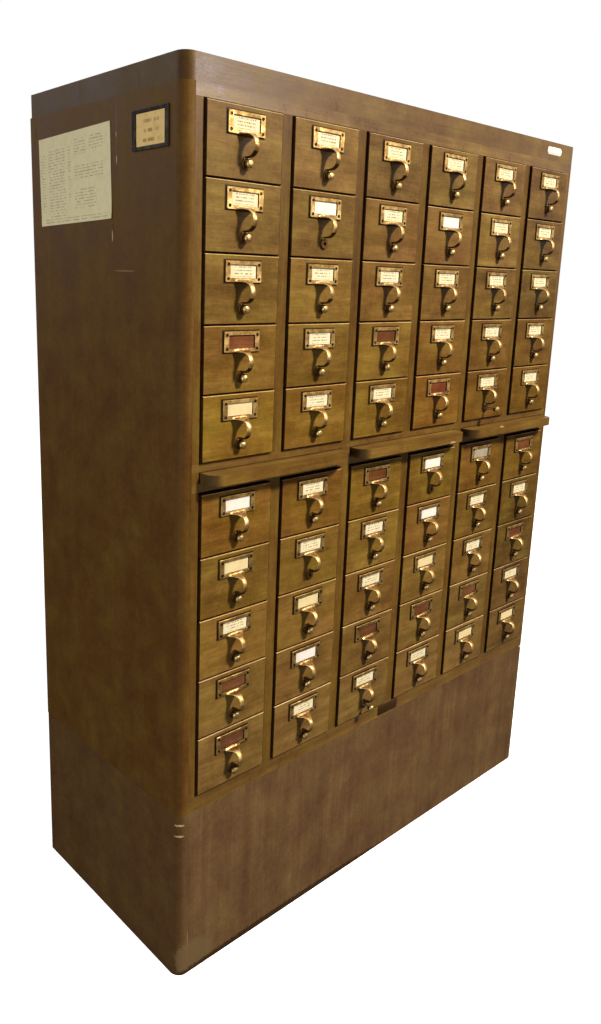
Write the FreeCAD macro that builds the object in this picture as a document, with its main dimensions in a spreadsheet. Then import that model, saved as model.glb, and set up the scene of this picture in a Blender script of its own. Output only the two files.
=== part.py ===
import FreeCAD, Part
import os
import Sketcher

# Card index cabinet: sixty drawers in two blocks of five rows and six columns,
# three pull-out shelves between the blocks, a thick top and a tall plinth.
# Millimetres. X runs across the front to the right, Y from front to rear, Z up.
# The origin is under the middle of the overall box, on the floor.

COLUMNS = 6
ROWS = 5
SHELVES = 3
COLUMNS_PER_SHELF = COLUMNS // SHELVES
COLUMNS_PER_GROUP = 3
# The knob's dome is a ball cut flat behind its middle, at this angle down from its waist.
DOME_FLAT_ANGLE = -20
# Two places nearer than this are the same place.
SAME_PLACE = 1e-6

# Each line is one size that can be set by itself: its name, its value and what it measures.
SIZES = [
    ("column_pitch", 165.0, "centre to centre of two drawers side by side"),
    ("row_pitch", 99.25, "centre to centre of two drawers one above the other"),
    ("row_gap", 2.0, "gap between two drawer fronts one above the other"),
    ("front_gap", 1.5, "gap beside a drawer front"),
    ("sill_gap", 1.75, "gap under the lowest drawer front of a block"),
    ("upper_head_gap", 2.0, "gap over the upper block's top drawer fronts"),
    ("lower_head_gap", 4.0, "gap over the lower block's top drawer fronts"),
    ("partition_thick", 21.0, "upright boards between the drawers"),
    ("stile_width", 13.0, "upright boards against the side panels"),
    ("side_thick", 19.0, "side panels and plinth sides"),
    ("corner_radius", 18.0, "round of the cabinet's front corners, seen from above"),
    ("corner_flat", 0.5, "least flat edge left beside a round"),
    ("cabinet_depth", 422.0, "face of the front frame to the rear of the side panels"),
    ("cap_rear_inset", 5.0, "top ends this far before the side panels"),
    ("plinth_rear_inset", 2.0, "plinth ends this far before the side panels"),
    ("back_inset", 8.0, "recess behind the back panel"),
    ("back_thick", 6.0, "back panel"),
    ("rail_depth", 19.0, "front rails, front to rear"),
    ("plinth_height", 301.0, "plinth"),
    ("plinth_board", 19.0, "plinth front and rear boards"),
    ("bottom_rail", 27.0, "height of the rail under the lower block"),
    ("lower_mid_rail", 12.5, "height of the rail under the shelves"),
    ("upper_mid_rail", 12.0, "height of the rail over the shelves"),
    ("top_rail", 18.0, "height of the rail under the top"),
    ("deck_thick", 19.0, "bottom deck"),
    ("cap_thick", 35.5, "top"),
    ("shelf_thick", 16.3, "pull-out shelf"),
    ("shelf_head_gap", 1.4, "gap over a shelf"),
    ("shelf_lip", 31.3, "how far a closed shelf stands out of the frame"),
    ("shelf_side_gap", 3.0, "gap beside a shelf"),
    ("shelf_rear_gap", 67.0, "shelf ends this far before the back panel"),
    ("shelf_corner", 21.0, "round of a shelf's front corners, seen from above"),
    ("slide_clear", 0.3, "play between a sliding piece and what carries it"),
    ("front_thick", 19.0, "drawer front"),
    ("front_proud", 4.8, "how far a drawer front stands out of the frame"),
    ("front_ease", 1.2, "bevel round the face of a drawer front"),
    ("box_clear", 2.0, "play beside a drawer's box"),
    ("box_rear_gap", 28.0, "drawer box ends this far before the back panel"),
    ("box_side_thick", 6.5, "drawer sides"),
    ("box_head_gap", 27.0, "drawer sides end this far below the top of the front"),
    ("box_bottom_thick", 5.0, "drawer bottom"),
    ("box_back_thick", 6.5, "drawer back"),
    ("back_drop", 6.0, "drawer back ends this far below the sides"),
    ("runner_width", 9.0, "runner strip under a drawer side"),
    ("runner_height", 8.0, "runner strip under a drawer side"),
    ("runner_gap", 2.0, "runner strip ends this far from a drawer front and from the back"),
    ("follower_side_gap", 4.5, "play beside the follower block"),
    ("follower_drop", 3.0, "follower block ends this far below the top of the sides"),
    ("follower_foot", 28.0, "follower block's foot, front to rear"),
    ("follower_head", 12.0, "follower block's top, front to rear"),
    ("follower_rear_gap", 12.0, "follower block to the drawer's back"),
    ("rod_radius", 2.5, "rod that holds the cards"),
    ("rod_clear", 0.25, "play round the rod in its holes"),
    ("rod_height", 21.25, "rod's axis over the lower edge of the drawer front"),
    ("rod_out", 19.2, "how far the one drawn rod stands out of its seat"),
    ("rod_part_out", 12.0, "how far the one half-drawn rod stands out of its seat"),
    ("knob_radius", 6.4, "rod knob's dome"),
    ("collar_length", 3.6, "knob's seat to the middle of its dome"),
    ("collar_radius", 4.6, "knob's collar"),
    ("plate_width", 68.0, "label plate of the pull"),
    ("plate_height", 30.0, "label plate of the pull"),
    ("plate_thick", 2.5, "label plate of the pull"),
    ("plate_drop", 8.2, "top of the front to the top of the label plate"),
    ("plate_rim", 9.0, "label plate beside the recess for the label"),
    ("plate_band", 5.5, "label plate over and under the recess for the label"),
    ("window_depth", 1.2, "recess for the label"),
    ("label_thick", 0.5, "label card"),
    ("label_clear", 0.25, "play round the label card"),
    ("screw_inset", 5.0, "screw centres to the edges of the label plate"),
    ("screw_hole", 1.5, "radius of the screw holes"),
    ("screw_depth", 12.0, "screw holes in the drawer front"),
    ("screw_head", 2.3, "radius of a screw's head"),
    ("screw_head_high", 1.0, "height of a screw's head"),
    ("screw_clear", 0.1, "play round a screw in its hole"),
    ("strap_width", 9.5, "finger hook at its narrow part"),
    ("strap_thick", 2.3, "finger hook's metal"),
    ("flare_radius", 8.5, "round where the hook widens into the plate"),
    ("hook_stand", 8.7, "drawer front's face to the middle of the hook's bend"),
    ("eyelet_radius", 8.0, "eyelet at the hook's foot"),
    ("eyelet_thick", 3.0, "eyelet at the hook's foot"),
    ("holder_long", 88.0, "label holder on the left side panel"),
    ("holder_high", 54.0, "label holder on the left side panel"),
    ("holder_thick", 2.4, "label holder on the left side panel"),
    ("holder_rim", 10.0, "label holder's upright rims"),
    ("holder_band", 5.25, "label holder's level rims"),
    ("holder_card", 0.8, "card in the label holder"),
    ("holder_from_front", 31.5, "frame face to the label holder"),
    ("holder_below_top", 62.0, "top of the cabinet to the top of the label holder"),
    ("sheet_long", 216.0, "paper sheet on the left side panel"),
    ("sheet_high", 137.0, "paper sheet on the left side panel"),
    ("sheet_thick", 0.4, "paper sheet on the left side panel"),
    ("sheet_gap", 56.5, "label holder to the paper sheet"),
    ("sheet_below_top", 70.0, "top of the cabinet to the top of the paper sheet"),
    ("cutter_over", 1.0, "how far a cutting shape reaches past what it trims"),
]

# The labels that the drawers hold, row by row from the top: 1 where there is a card.
LABELS = [
    (1, 1, 1, 1, 1, 1),
    (1, 1, 1, 1, 1, 1),
    (1, 1, 1, 1, 1, 1),
    (0, 1, 0, 1, 1, 1),
    (1, 1, 1, 0, 1, 1),
    (1, 1, 0, 1, 1, 0),
    (1, 1, 1, 1, 1, 1),
    (1, 1, 1, 1, 1, 0),
    (0, 1, 0, 0, 0, 1),
    (0, 1, 1, 1, 1, 1),
]
# Drawers, as (row, column): those whose card rod is missing, the one whose rod is half drawn,
# and the one whose rod is drawn out, which is built from separate parts.
NO_ROD = [(2, 2), (6, 4), (7, 2)]
HALF_DRAWN_ROD = (10, 3)
DRAWN_ROD = (5, 5)

doc = FreeCAD.newDocument("card_index_cabinet")
dims = doc.addObject("Spreadsheet::Sheet", "Dims")
for line, (alias, value, note) in enumerate(SIZES, start=1):
    dims.set(f"A{line}", str(value))
    dims.setAlias(f"A{line}", alias)
    dims.set(f"B{line}", note)
doc.recompute()

# Lengths and levels that follow from the sizes.
OPENING = "(Dims.column_pitch - Dims.partition_thick)"
INSIDE = f"({COLUMNS} * Dims.column_pitch - Dims.partition_thick + 2 * Dims.stile_width)"
OVERALL = f"({INSIDE} + 2 * Dims.side_thick)"
STACK = f"({ROWS} * Dims.row_pitch - Dims.row_gap + Dims.sill_gap)"
KNOB_LENGTH = "(Dims.collar_length + Dims.knob_radius)"
REACH = f"(Dims.front_proud + Dims.eyelet_thick + {KNOB_LENGTH} + Dims.rod_out)"
FACE_Y = f"(({REACH} - Dims.cabinet_depth) / 2)"
# The label holder stands out on the left, so the cabinet's own middle lies right of the origin.
MIDDLE_X = "(Dims.holder_thick / 2)"
CASE_LEFT = f"({MIDDLE_X} - {OVERALL} / 2)"
INSIDE_LEFT = f"({MIDDLE_X} - {INSIDE} / 2)"
INSIDE_RIGHT = f"({MIDDLE_X} + {INSIDE} / 2)"
INSIDE_DEPTH = "(Dims.cabinet_depth - Dims.back_inset - Dims.back_thick)"
LOWER_FLOOR = "(Dims.plinth_height + Dims.bottom_rail)"
LOWER_HEAD = f"({LOWER_FLOOR} + {STACK} + Dims.lower_head_gap)"
SLOT_FLOOR = f"({LOWER_HEAD} + Dims.lower_mid_rail)"
SLOT_HEAD = f"({SLOT_FLOOR} + Dims.slide_clear + Dims.shelf_thick + Dims.shelf_head_gap)"
UPPER_FLOOR = f"({SLOT_HEAD} + Dims.upper_mid_rail)"
UPPER_HEAD = f"({UPPER_FLOOR} + {STACK} + Dims.upper_head_gap)"
CASE_TOP = f"({UPPER_HEAD} + Dims.top_rail)"
CABINET_TOP = f"({CASE_TOP} + Dims.cap_thick)"

nodes = []


def bind(thing, **bindings):
    """Bind properties to expressions; x, y and z place the thing."""
    places = {"x": "Placement.Base.x", "y": "Placement.Base.y", "z": "Placement.Base.z"}
    for name, expression in bindings.items():
        thing.setExpression(places.get(name, name), expression)
    return thing


def block(name, size, corner):
    """A board from its size and its low corner, both as three expressions."""
    board = doc.addObject("Part::Box", name)
    bind(board, Length=size[0], Width=size[1], Height=size[2])
    return bind(board, x=corner[0], y=corner[1], z=corner[2])


def round_bar(name, radius, length, start, turn=None):
    """A cylinder along Z, or along the axis that turn brings Z to."""
    bar = doc.addObject("Part::Cylinder", name)
    bind(bar, Radius=radius, Height=length)
    if turn is not None:
        bar.Placement.Rotation = turn
    return bind(bar, x=start[0], y=start[1], z=start[2])


def joined(name, pieces):
    union = doc.addObject("Part::MultiFuse", name)
    union.Shapes = pieces
    union.Refine = True
    return union


def cut(name, base, tool):
    rest = doc.addObject("Part::Cut", name)
    rest.Base = base
    rest.Tool = tool
    rest.Refine = True
    return rest


def gather(name, pieces):
    """Separate solids held together as one object."""
    group = doc.addObject("Part::Compound", name)
    group.Links = pieces
    return group


def node(thing, label):
    """Mark an object as one of the cabinet's named parts."""
    thing.Label = label
    nodes.append(thing)
    return thing


def sketch_on(body, name, role):
    sketch = body.newObject("Sketcher::SketchObject", name)
    plane = next(feature for feature in body.Origin.OriginFeatures if feature.Role == role)
    sketch.AttachmentSupport = [(plane, "")]
    sketch.MapMode = "FlatFace"
    return sketch


def measure(sketch, kind, first, second, expression):
    """A driven distance between two points, each given as (geometry, end)."""
    value = float(dims.evalExpression(expression))
    index = sketch.addConstraint(Sketcher.Constraint(kind, *first, *second, value))
    sketch.setExpression(f"Constraints[{index}]", expression)


def rectangle(sketch, left, low, width, height):
    """A rectangle from expressions for its low left corner and its two sides."""
    x, y, w, h = (float(dims.evalExpression(text)) for text in (left, low, width, height))
    corners = [(x, y), (x + w, y), (x + w, y + h), (x, y + h)]
    points = [FreeCAD.Vector(px, py, 0) for px, py in corners]
    first = sketch.GeometryCount
    for side in range(4):
        sketch.addGeometry(Part.LineSegment(points[side], points[(side + 1) % 4]), False)
    for side in range(4):
        following = first + (side + 1) % 4
        sketch.addConstraint(Sketcher.Constraint("Coincident", first + side, 2, following, 1))
        direction = "Horizontal" if side % 2 == 0 else "Vertical"
        sketch.addConstraint(Sketcher.Constraint(direction, first + side))
    origin = (-1, 1)
    measure(sketch, "DistanceX", origin, (first, 1), left)
    measure(sketch, "DistanceY", origin, (first, 1), low)
    measure(sketch, "DistanceX", (first, 1), (first, 2), width)
    measure(sketch, "DistanceY", (first + 1, 1), (first + 1, 2), height)


def circle(sketch, across, up, radius):
    x, y, r = (float(dims.evalExpression(text)) for text in (across, up, radius))
    index = sketch.addGeometry(Part.Circle(FreeCAD.Vector(x, y, 0), FreeCAD.Vector(0, 0, 1), r), False)
    ring = sketch.addConstraint(Sketcher.Constraint("Radius", index, r))
    sketch.setExpression(f"Constraints[{ring}]", radius)
    measure(sketch, "DistanceX", (-1, 1), (index, 3), across)
    measure(sketch, "DistanceY", (-1, 1), (index, 3), up)


def padded(body, sketch, length, backwards=False):
    pad = body.newObject("PartDesign::Pad", f"{body.Name}_pad")
    pad.Profile = sketch
    pad.Reversed = backwards
    bind(pad, Length=length)
    doc.recompute()
    return pad


def pocket(body, sketch, depth):
    """Cut a sketch into the body, and make sure that it took material away."""
    before = body.Shape.Volume
    hollow = body.newObject("PartDesign::Pocket", f"{body.Name}_{sketch.Name}_cut")
    hollow.Profile = sketch
    bind(hollow, Length=depth)
    doc.recompute()
    if not body.Shape.Volume < before:
        raise RuntimeError(f"{hollow.Name} cuts nothing")
    return hollow


def edges_where(shape, wanted):
    return [f"Edge{i}" for i, edge in enumerate(shape.Edges, start=1) if wanted(edge)]


def rounded_board(name, size, corner, rounds, radius):
    """An upright board or slab whose front corners are rounded where rounds says left or right."""
    body = doc.addObject("PartDesign::Body", name)
    outline = sketch_on(body, f"{name}_outline", "XY_Plane")
    rectangle(outline, "0", "0", size[0], size[1])
    pad = padded(body, outline, size[2])
    box = pad.Shape.BoundBox
    fronts = {"left": box.XMin, "right": box.XMax}

    def on_round(edge):
        low, high = edge.BoundBox.ZMin, edge.BoundBox.ZMax
        upright = high - low > box.ZLength / 2
        middle = edge.CenterOfMass
        at_front = abs(middle.y - box.YMin) < SAME_PLACE
        return upright and at_front and any(abs(middle.x - fronts[end]) < SAME_PLACE for end in rounds)

    fillet = body.newObject("PartDesign::Fillet", f"{name}_round")
    fillet.Base = (pad, edges_where(pad.Shape, on_round))
    bind(fillet, Radius=radius)
    return bind(body, x=corner[0], y=corner[1], z=corner[2])


def column_x(column):
    """Middle of a column, counted from 1 at the left."""
    return f"({MIDDLE_X} + {column - (COLUMNS + 1) / 2} * Dims.column_pitch)"


def front_z(row):
    """Lower edge of a drawer front, rows counted from 1 at the top."""
    if row <= ROWS:
        floor, above = UPPER_FLOOR, ROWS - row
    else:
        floor, above = LOWER_FLOOR, 2 * ROWS - row
    return f"({floor} + Dims.sill_gap + {above} * Dims.row_pitch)"


# Top: one thick slab whose front corners follow the rounds of the side panels.
corner_round = "min(Dims.corner_radius; Dims.side_thick - Dims.corner_flat)"
top_cap = rounded_board(
    "TopCap",
    (OVERALL, "Dims.cabinet_depth - Dims.cap_rear_inset", "Dims.cap_thick"),
    (CASE_LEFT, FACE_Y, CASE_TOP),
    ("left", "right"),
    corner_round,
)
node(top_cap, "top_cap")

# Side panels and plinth sides: each board's outer front corner is rounded over.
side_x = {"left": CASE_LEFT, "right": INSIDE_RIGHT}
plinth_pieces = []
for end, low_x in side_x.items():
    panel = rounded_board(
        f"SidePanel_{end}",
        ("Dims.side_thick", "Dims.cabinet_depth", f"{CASE_TOP} - Dims.plinth_height"),
        (low_x, FACE_Y, "Dims.plinth_height"),
        (end,),
        corner_round,
    )
    node(panel, f"side_panel_{end}")
    plinth_side = rounded_board(
        f"PlinthSide_{end}",
        ("Dims.side_thick", "Dims.cabinet_depth - Dims.plinth_rear_inset", "Dims.plinth_height"),
        (low_x, FACE_Y, "0"),
        (end,),
        corner_round,
    )
    plinth_pieces.append(plinth_side)

# Plinth: front and rear boards between the two plinth sides.
plinth_rear_y = f"{FACE_Y} + Dims.cabinet_depth - Dims.plinth_rear_inset - Dims.plinth_board"
for name, low_y in (("PlinthFront", FACE_Y), ("PlinthRear", plinth_rear_y)):
    size = (INSIDE, "Dims.plinth_board", "Dims.plinth_height")
    plinth_pieces.append(block(name, size, (INSIDE_LEFT, low_y, "0")))
node(gather("Plinth", plinth_pieces), "plinth")

# Back panel: a thin sheet between the side panels, set in from their rear edges.
back_panel = block(
    "BackPanel",
    (INSIDE, "Dims.back_thick", f"{CASE_TOP} - Dims.plinth_height"),
    (INSIDE_LEFT, f"{FACE_Y} + {INSIDE_DEPTH}", "Dims.plinth_height"),
)
node(back_panel, "back_panel")

# Front rails: four level strips that run from side panel to side panel.
rails = [
    ("BottomRail", "Dims.plinth_height", "Dims.bottom_rail"),
    ("LowerMidRail", LOWER_HEAD, "Dims.lower_mid_rail"),
    ("UpperMidRail", SLOT_HEAD, "Dims.upper_mid_rail"),
    ("TopRail", UPPER_HEAD, "Dims.top_rail"),
]
rail_pieces = []
for name, low_z, height in rails:
    rail_pieces.append(block(name, (INSIDE, "Dims.rail_depth", height), (INSIDE_LEFT, FACE_Y, low_z)))
node(gather("FrontRails", rail_pieces), "front_rails")

# Decks: level boards behind the rails, which close each block over and under.
deck_length = f"{INSIDE_DEPTH} - Dims.rail_depth"
deck_y = f"{FACE_Y} + Dims.rail_depth"
decks = [
    ("BottomDeck", f"{LOWER_FLOOR} - Dims.deck_thick", "Dims.deck_thick"),
    ("LowerMidDeck", LOWER_HEAD, "Dims.lower_mid_rail"),
    ("UpperMidDeck", SLOT_HEAD, "Dims.upper_mid_rail"),
    ("SubTop", UPPER_HEAD, "Dims.top_rail"),
]
deck_pieces = []
for name, low_z, height in decks:
    deck_pieces.append(block(name, (INSIDE, deck_length, height), (INSIDE_LEFT, deck_y, low_z)))
node(gather("Decks", deck_pieces), "decks")

# Uprights: full-depth boards between the columns and against the side panels.
# Their front edges are the stiles that show between the drawers.
partition_pieces = []


def upright(name, low_x, width, floor, head):
    size = (width, INSIDE_DEPTH, f"{head} - {floor}")
    partition_pieces.append(block(name, size, (low_x, FACE_Y, floor)))


levels = [
    ("Lower", LOWER_FLOOR, LOWER_HEAD, 1),
    ("Slot", SLOT_FLOOR, SLOT_HEAD, COLUMNS_PER_SHELF),
    ("Upper", UPPER_FLOOR, UPPER_HEAD, 1),
]
for level, floor, head, step in levels:
    upright(f"{level}StileLeft", INSIDE_LEFT, "Dims.stile_width", floor, head)
    upright(f"{level}StileRight", f"{INSIDE_RIGHT} - Dims.stile_width", "Dims.stile_width", floor, head)
    for column in range(step, COLUMNS, step):
        low_x = f"{column_x(column)} + {OPENING} / 2"
        upright(f"{level}Partition{column}", low_x, "Dims.partition_thick", floor, head)
node(gather("Partitions", partition_pieces), "partitions")

# Drawer runners: a strip on each side of each opening, which carries the drawer side's lower edge.
runner_pieces = []
runner_start = f"{FACE_Y} + Dims.front_thick - Dims.front_proud + Dims.runner_gap"
runner_length = f"{INSIDE_DEPTH} - Dims.front_thick + Dims.front_proud - 2 * Dims.runner_gap"
for row in range(1, 2 * ROWS + 1):
    for column in range(1, COLUMNS + 1):
        low_x = {
            "L": f"{column_x(column)} - {OPENING} / 2",
            "R": f"{column_x(column)} + {OPENING} / 2 - Dims.runner_width",
        }
        for hand, x in low_x.items():
            size = ("Dims.runner_width", runner_length, "Dims.runner_height")
            runner_pieces.append(block(f"Runner_{row}_{column}{hand}", size, (x, runner_start, front_z(row))))
node(gather("DrawerRunners", runner_pieces), "drawer_runners")

# Pull-out shelves: flat boards over two columns each, whose rounded lips stand out of the frame.
shelf_width = f"({COLUMNS_PER_SHELF} * Dims.column_pitch - Dims.partition_thick - 2 * Dims.shelf_side_gap)"
shelf_length = f"({INSIDE_DEPTH} + Dims.shelf_lip - Dims.shelf_rear_gap)"
for number, name in enumerate(("left", "middle", "right")):
    middle = f"({MIDDLE_X} + {number - (SHELVES - 1) / 2} * {COLUMNS_PER_SHELF} * Dims.column_pitch)"
    shelf = rounded_board(
        f"Shelf_{name}",
        (shelf_width, shelf_length, "Dims.shelf_thick"),
        (f"{middle} - {shelf_width} / 2", f"{FACE_Y} - Dims.shelf_lip", f"{SLOT_FLOOR} + Dims.slide_clear"),
        ("left", "right"),
        "Dims.shelf_corner",
    )
    node(shelf, f"shelf_{name}")

# The drawer's pieces, in the drawer's own place: X from the middle of its front,
# Y from the face of the frame, Z from the lower edge of the front.
front_width = f"({OPENING} - 2 * Dims.front_gap)"
front_height = "(Dims.row_pitch - Dims.row_gap)"
front_back = "(Dims.front_thick - Dims.front_proud)"
box_half = f"({OPENING} / 2 - Dims.box_clear)"
box_length = f"({INSIDE_DEPTH} - Dims.box_rear_gap - {front_back})"
box_low = "(Dims.runner_height + Dims.slide_clear)"
box_floor = f"({box_low} + Dims.box_bottom_thick)"
box_top = f"({front_height} - Dims.box_head_gap)"
box_between = f"(2 * {box_half} - 2 * Dims.box_side_thick)"
bore_radius = "(Dims.rod_radius + Dims.rod_clear)"
screw_places = [(sx, sz) for sx in (-1, 1) for sz in (-1, 1)]
plate_top = f"({front_height} - Dims.plate_drop)"
plate_low = f"({plate_top} - Dims.plate_height)"
plate_middle = f"({plate_low} + Dims.plate_height / 2)"
window_width = "(Dims.plate_width - 2 * Dims.plate_rim)"
window_height = "(Dims.plate_height - 2 * Dims.plate_band)"
along_y = FreeCAD.Rotation(FreeCAD.Vector(1, 0, 0), 90)
along_x = FreeCAD.Rotation(FreeCAD.Vector(0, 1, 0), 90)


def screw_x(side):
    return f"{side} * (Dims.plate_width / 2 - Dims.screw_inset)"


def screw_z(side):
    return f"{plate_middle} + {side} * (Dims.plate_height / 2 - Dims.screw_inset)"


def drawer_front():
    """Solid wood front with bevelled edges, a hole for the rod and four screw holes."""
    body = doc.addObject("PartDesign::Body", "Front")
    outline = sketch_on(body, "front_outline", "XZ_Plane")
    rectangle(outline, f"-{front_width} / 2", "0", front_width, front_height)
    pad = padded(body, outline, "Dims.front_thick", backwards=True)
    face_y = pad.Shape.BoundBox.YMin
    bevel = body.newObject("PartDesign::Chamfer", "front_bevel")
    on_face = edges_where(pad.Shape, lambda edge: abs(edge.CenterOfMass.y - face_y) < SAME_PLACE)
    bevel.Base = (pad, on_face)
    bind(bevel, Size="Dims.front_ease")
    doc.recompute()
    hole = sketch_on(body, "rod_hole", "XZ_Plane")
    circle(hole, "0", "Dims.rod_height", bore_radius)
    pocket(body, hole, "Dims.front_thick")
    pilots = sketch_on(body, "screw_holes", "XZ_Plane")
    for sx, sz in screw_places:
        circle(pilots, screw_x(sx), screw_z(sz), "Dims.screw_hole")
    pocket(body, pilots, "Dims.screw_depth")
    return bind(body, y="-Dims.front_proud")


def drawer_box():
    """Two sides, a bottom between them and a back that stands on the bottom."""
    side_size = ("Dims.box_side_thick", box_length, f"{box_top} - {box_low}")
    left = block("BoxSideLeft", side_size, (f"-{box_half}", front_back, box_low))
    right_x = f"{box_half} - Dims.box_side_thick"
    right = block("BoxSideRight", side_size, (right_x, front_back, box_low))
    bottom_size = (box_between, box_length, "Dims.box_bottom_thick")
    bottom = block("BoxBottom", bottom_size, (f"-{box_between} / 2", front_back, box_low))
    back_y = f"{front_back} + {box_length} - Dims.box_back_thick"
    back_board = block(
        "BoxBackBoard",
        (box_between, "Dims.box_back_thick", f"{box_top} - Dims.back_drop - {box_floor}"),
        (f"-{box_between} / 2", back_y, box_floor),
    )
    back_hole = round_bar(
        "BoxBackHole",
        bore_radius,
        "Dims.box_back_thick",
        ("0", f"{back_y} + Dims.box_back_thick", "Dims.rod_height"),
        along_y,
    )
    return [left, right, bottom, cut("BoxBack", back_board, back_hole)]


def follower_block():
    """Sloped wooden block behind the cards, which slides along the drawer over the rod."""
    wedge = doc.addObject("Part::Wedge", "FollowerWedge")
    wedge.Placement.Rotation = along_y
    half = f"({box_between} / 2 - Dims.follower_side_gap)"
    foot_z = f"({box_floor} + Dims.slide_clear)"
    rear_y = f"({front_back} + {box_length} - Dims.box_back_thick - Dims.follower_rear_gap)"
    bind(wedge, Xmin=f"-{half}", Xmax=half, X2min=f"-{half}", X2max=half)
    bind(wedge, Ymin="0", Ymax=f"{box_top} - Dims.follower_drop - {foot_z}")
    bind(wedge, Zmin="0", Zmax="Dims.follower_foot", Z2min="0", Z2max="Dims.follower_head")
    bind(wedge, y=rear_y, z=foot_z)
    hole_start = ("0", rear_y, "Dims.rod_height")
    hole = round_bar("FollowerHole", bore_radius, "Dims.follower_foot", hole_start, along_y)
    return cut("Follower", wedge, hole)


def card_rod():
    """Straight rod from its knob to the drawer's back, and the turned knob on its front end."""
    seat_y = "(-(Dims.front_proud + Dims.eyelet_thick))"
    rod_end = f"({front_back} + {box_length})"
    rod_start = ("0", rod_end, "Dims.rod_height")
    rod = round_bar("Rod", "Dims.rod_radius", f"{rod_end} - {seat_y}", rod_start, along_y)
    collar_start = ("0", seat_y, "Dims.rod_height")
    collar = round_bar("KnobCollar", "Dims.collar_radius", "Dims.collar_length", collar_start, along_y)
    dome = doc.addObject("Part::Sphere", "KnobDome")
    dome.Placement.Rotation = along_y
    dome.Angle1 = DOME_FLAT_ANGLE
    dome.Angle2 = 90
    bind(dome, Radius="Dims.knob_radius", y=f"{seat_y} - Dims.collar_length", z="Dims.rod_height")
    return [rod, joined("Knob", [collar, dome])]


def drawer_pull():
    """Cast pull: a plate with a recess for the label, a flared finger hook and an eyelet."""
    plate_y = "-(Dims.front_proud + Dims.plate_thick)"
    plate = block(
        "Plate",
        ("Dims.plate_width", "Dims.plate_thick", "Dims.plate_height"),
        ("-Dims.plate_width / 2", plate_y, plate_low),
    )
    eyelet_front = "Dims.front_proud + Dims.eyelet_thick"
    eyelet = round_bar(
        "Eyelet",
        "Dims.eyelet_radius",
        "Dims.eyelet_thick",
        ("0", "-Dims.front_proud", "Dims.rod_height"),
        along_y,
    )

    # The hook is a bent strap: half a ring between two level legs.
    hook_radius = f"(({plate_low} + Dims.strap_thick - Dims.rod_height - Dims.eyelet_radius) / 2)"
    bend_z = f"({plate_low} + Dims.strap_thick - {hook_radius})"
    bend_y = "(-(Dims.front_proud + Dims.hook_stand))"
    flare_width = "(Dims.strap_width + 2 * Dims.flare_radius)"
    ring_start = (f"-{flare_width} / 2", bend_y, bend_z)
    ring_outer = round_bar("HookOuter", hook_radius, flare_width, ring_start, along_x)
    ring_inner = round_bar(
        "HookInner", f"{hook_radius} - Dims.strap_thick", flare_width, ring_start, along_x
    )
    behind = block(
        "HookBehind",
        (flare_width, hook_radius, f"2 * {hook_radius}"),
        (f"-{flare_width} / 2", bend_y, f"{bend_z} - {hook_radius}"),
    )
    half_ring = cut("HalfRing", cut("Ring", ring_outer, ring_inner), behind)
    leg_size = (flare_width, "Dims.hook_stand", "Dims.strap_thick")
    top_leg = block("TopLeg", leg_size, (f"-{flare_width} / 2", bend_y, plate_low))
    low_z = f"{bend_z} - {hook_radius}"
    low_leg = block("LowLeg", leg_size, (f"-{flare_width} / 2", bend_y, low_z))
    strap = joined("Strap", [half_ring, top_leg, low_leg])

    # Trims bring the strap to its narrow width and leave the flare under the plate.
    trims = []
    strap_reach = f"(Dims.hook_stand + {hook_radius} + Dims.cutter_over)"
    trim_height = f"({hook_radius} + Dims.cutter_over)"
    trim_width = "(Dims.flare_radius + Dims.cutter_over)"
    for name, side in (("Left", -1), ("Right", 1)):
        flare_x = f"{side} * {flare_width} / 2"
        flare_y = f"{plate_y} - Dims.flare_radius"
        upper = round_bar(
            f"Flare{name}", "Dims.flare_radius", trim_height, (flare_x, flare_y, bend_z)
        )
        low_x = "Dims.strap_width / 2" if side > 0 else f"-{flare_width} / 2 - Dims.cutter_over"
        ahead = block(
            f"Ahead{name}",
            (trim_width, strap_reach, trim_height),
            (low_x, f"{flare_y} - {strap_reach}", bend_z),
        )
        under = block(
            f"Under{name}",
            (trim_width, strap_reach, trim_height),
            (low_x, f"-Dims.front_proud - {strap_reach}", f"{bend_z} - {trim_height}"),
        )
        trims += [upper, ahead, under]
    hook = cut("Hook", strap, joined("Trims", trims))

    foot_height = f"{low_z} + Dims.strap_thick - Dims.rod_height"
    foot = block(
        "HookFoot",
        ("Dims.strap_width", "Dims.eyelet_thick", foot_height),
        ("-Dims.strap_width / 2", f"-({eyelet_front})", "Dims.rod_height"),
    )
    window = block(
        "Window",
        (window_width, "Dims.window_depth", window_height),
        (f"-{window_width} / 2", plate_y, f"{plate_middle} - {window_height} / 2"),
    )
    hole_start = ("0", "-Dims.front_proud", "Dims.rod_height")
    holes = [round_bar("EyeletHole", bore_radius, "Dims.eyelet_thick", hole_start, along_y)]
    for number, (sx, sz) in enumerate(screw_places, start=1):
        place = (screw_x(sx), "-Dims.front_proud", screw_z(sz))
        holes.append(round_bar(f"PlateHole{number}", "Dims.screw_hole", "Dims.plate_thick", place, along_y))
    solid = joined("PullBlank", [plate, hook, foot, eyelet])
    return cut("Pull", solid, joined("PullHoles", [window] + holes))


def label_card():
    """Paper label on the floor of the plate's recess."""
    size = (
        f"{window_width} - 2 * Dims.label_clear",
        "Dims.label_thick",
        f"{window_height} - 2 * Dims.label_clear",
    )
    floor_y = "-(Dims.front_proud + Dims.plate_thick - Dims.window_depth + Dims.label_thick)"
    low_z = f"{plate_middle} - {window_height} / 2 + Dims.label_clear"
    return block("Label", size, (f"-{window_width} / 2 + Dims.label_clear", floor_y, low_z))


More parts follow.
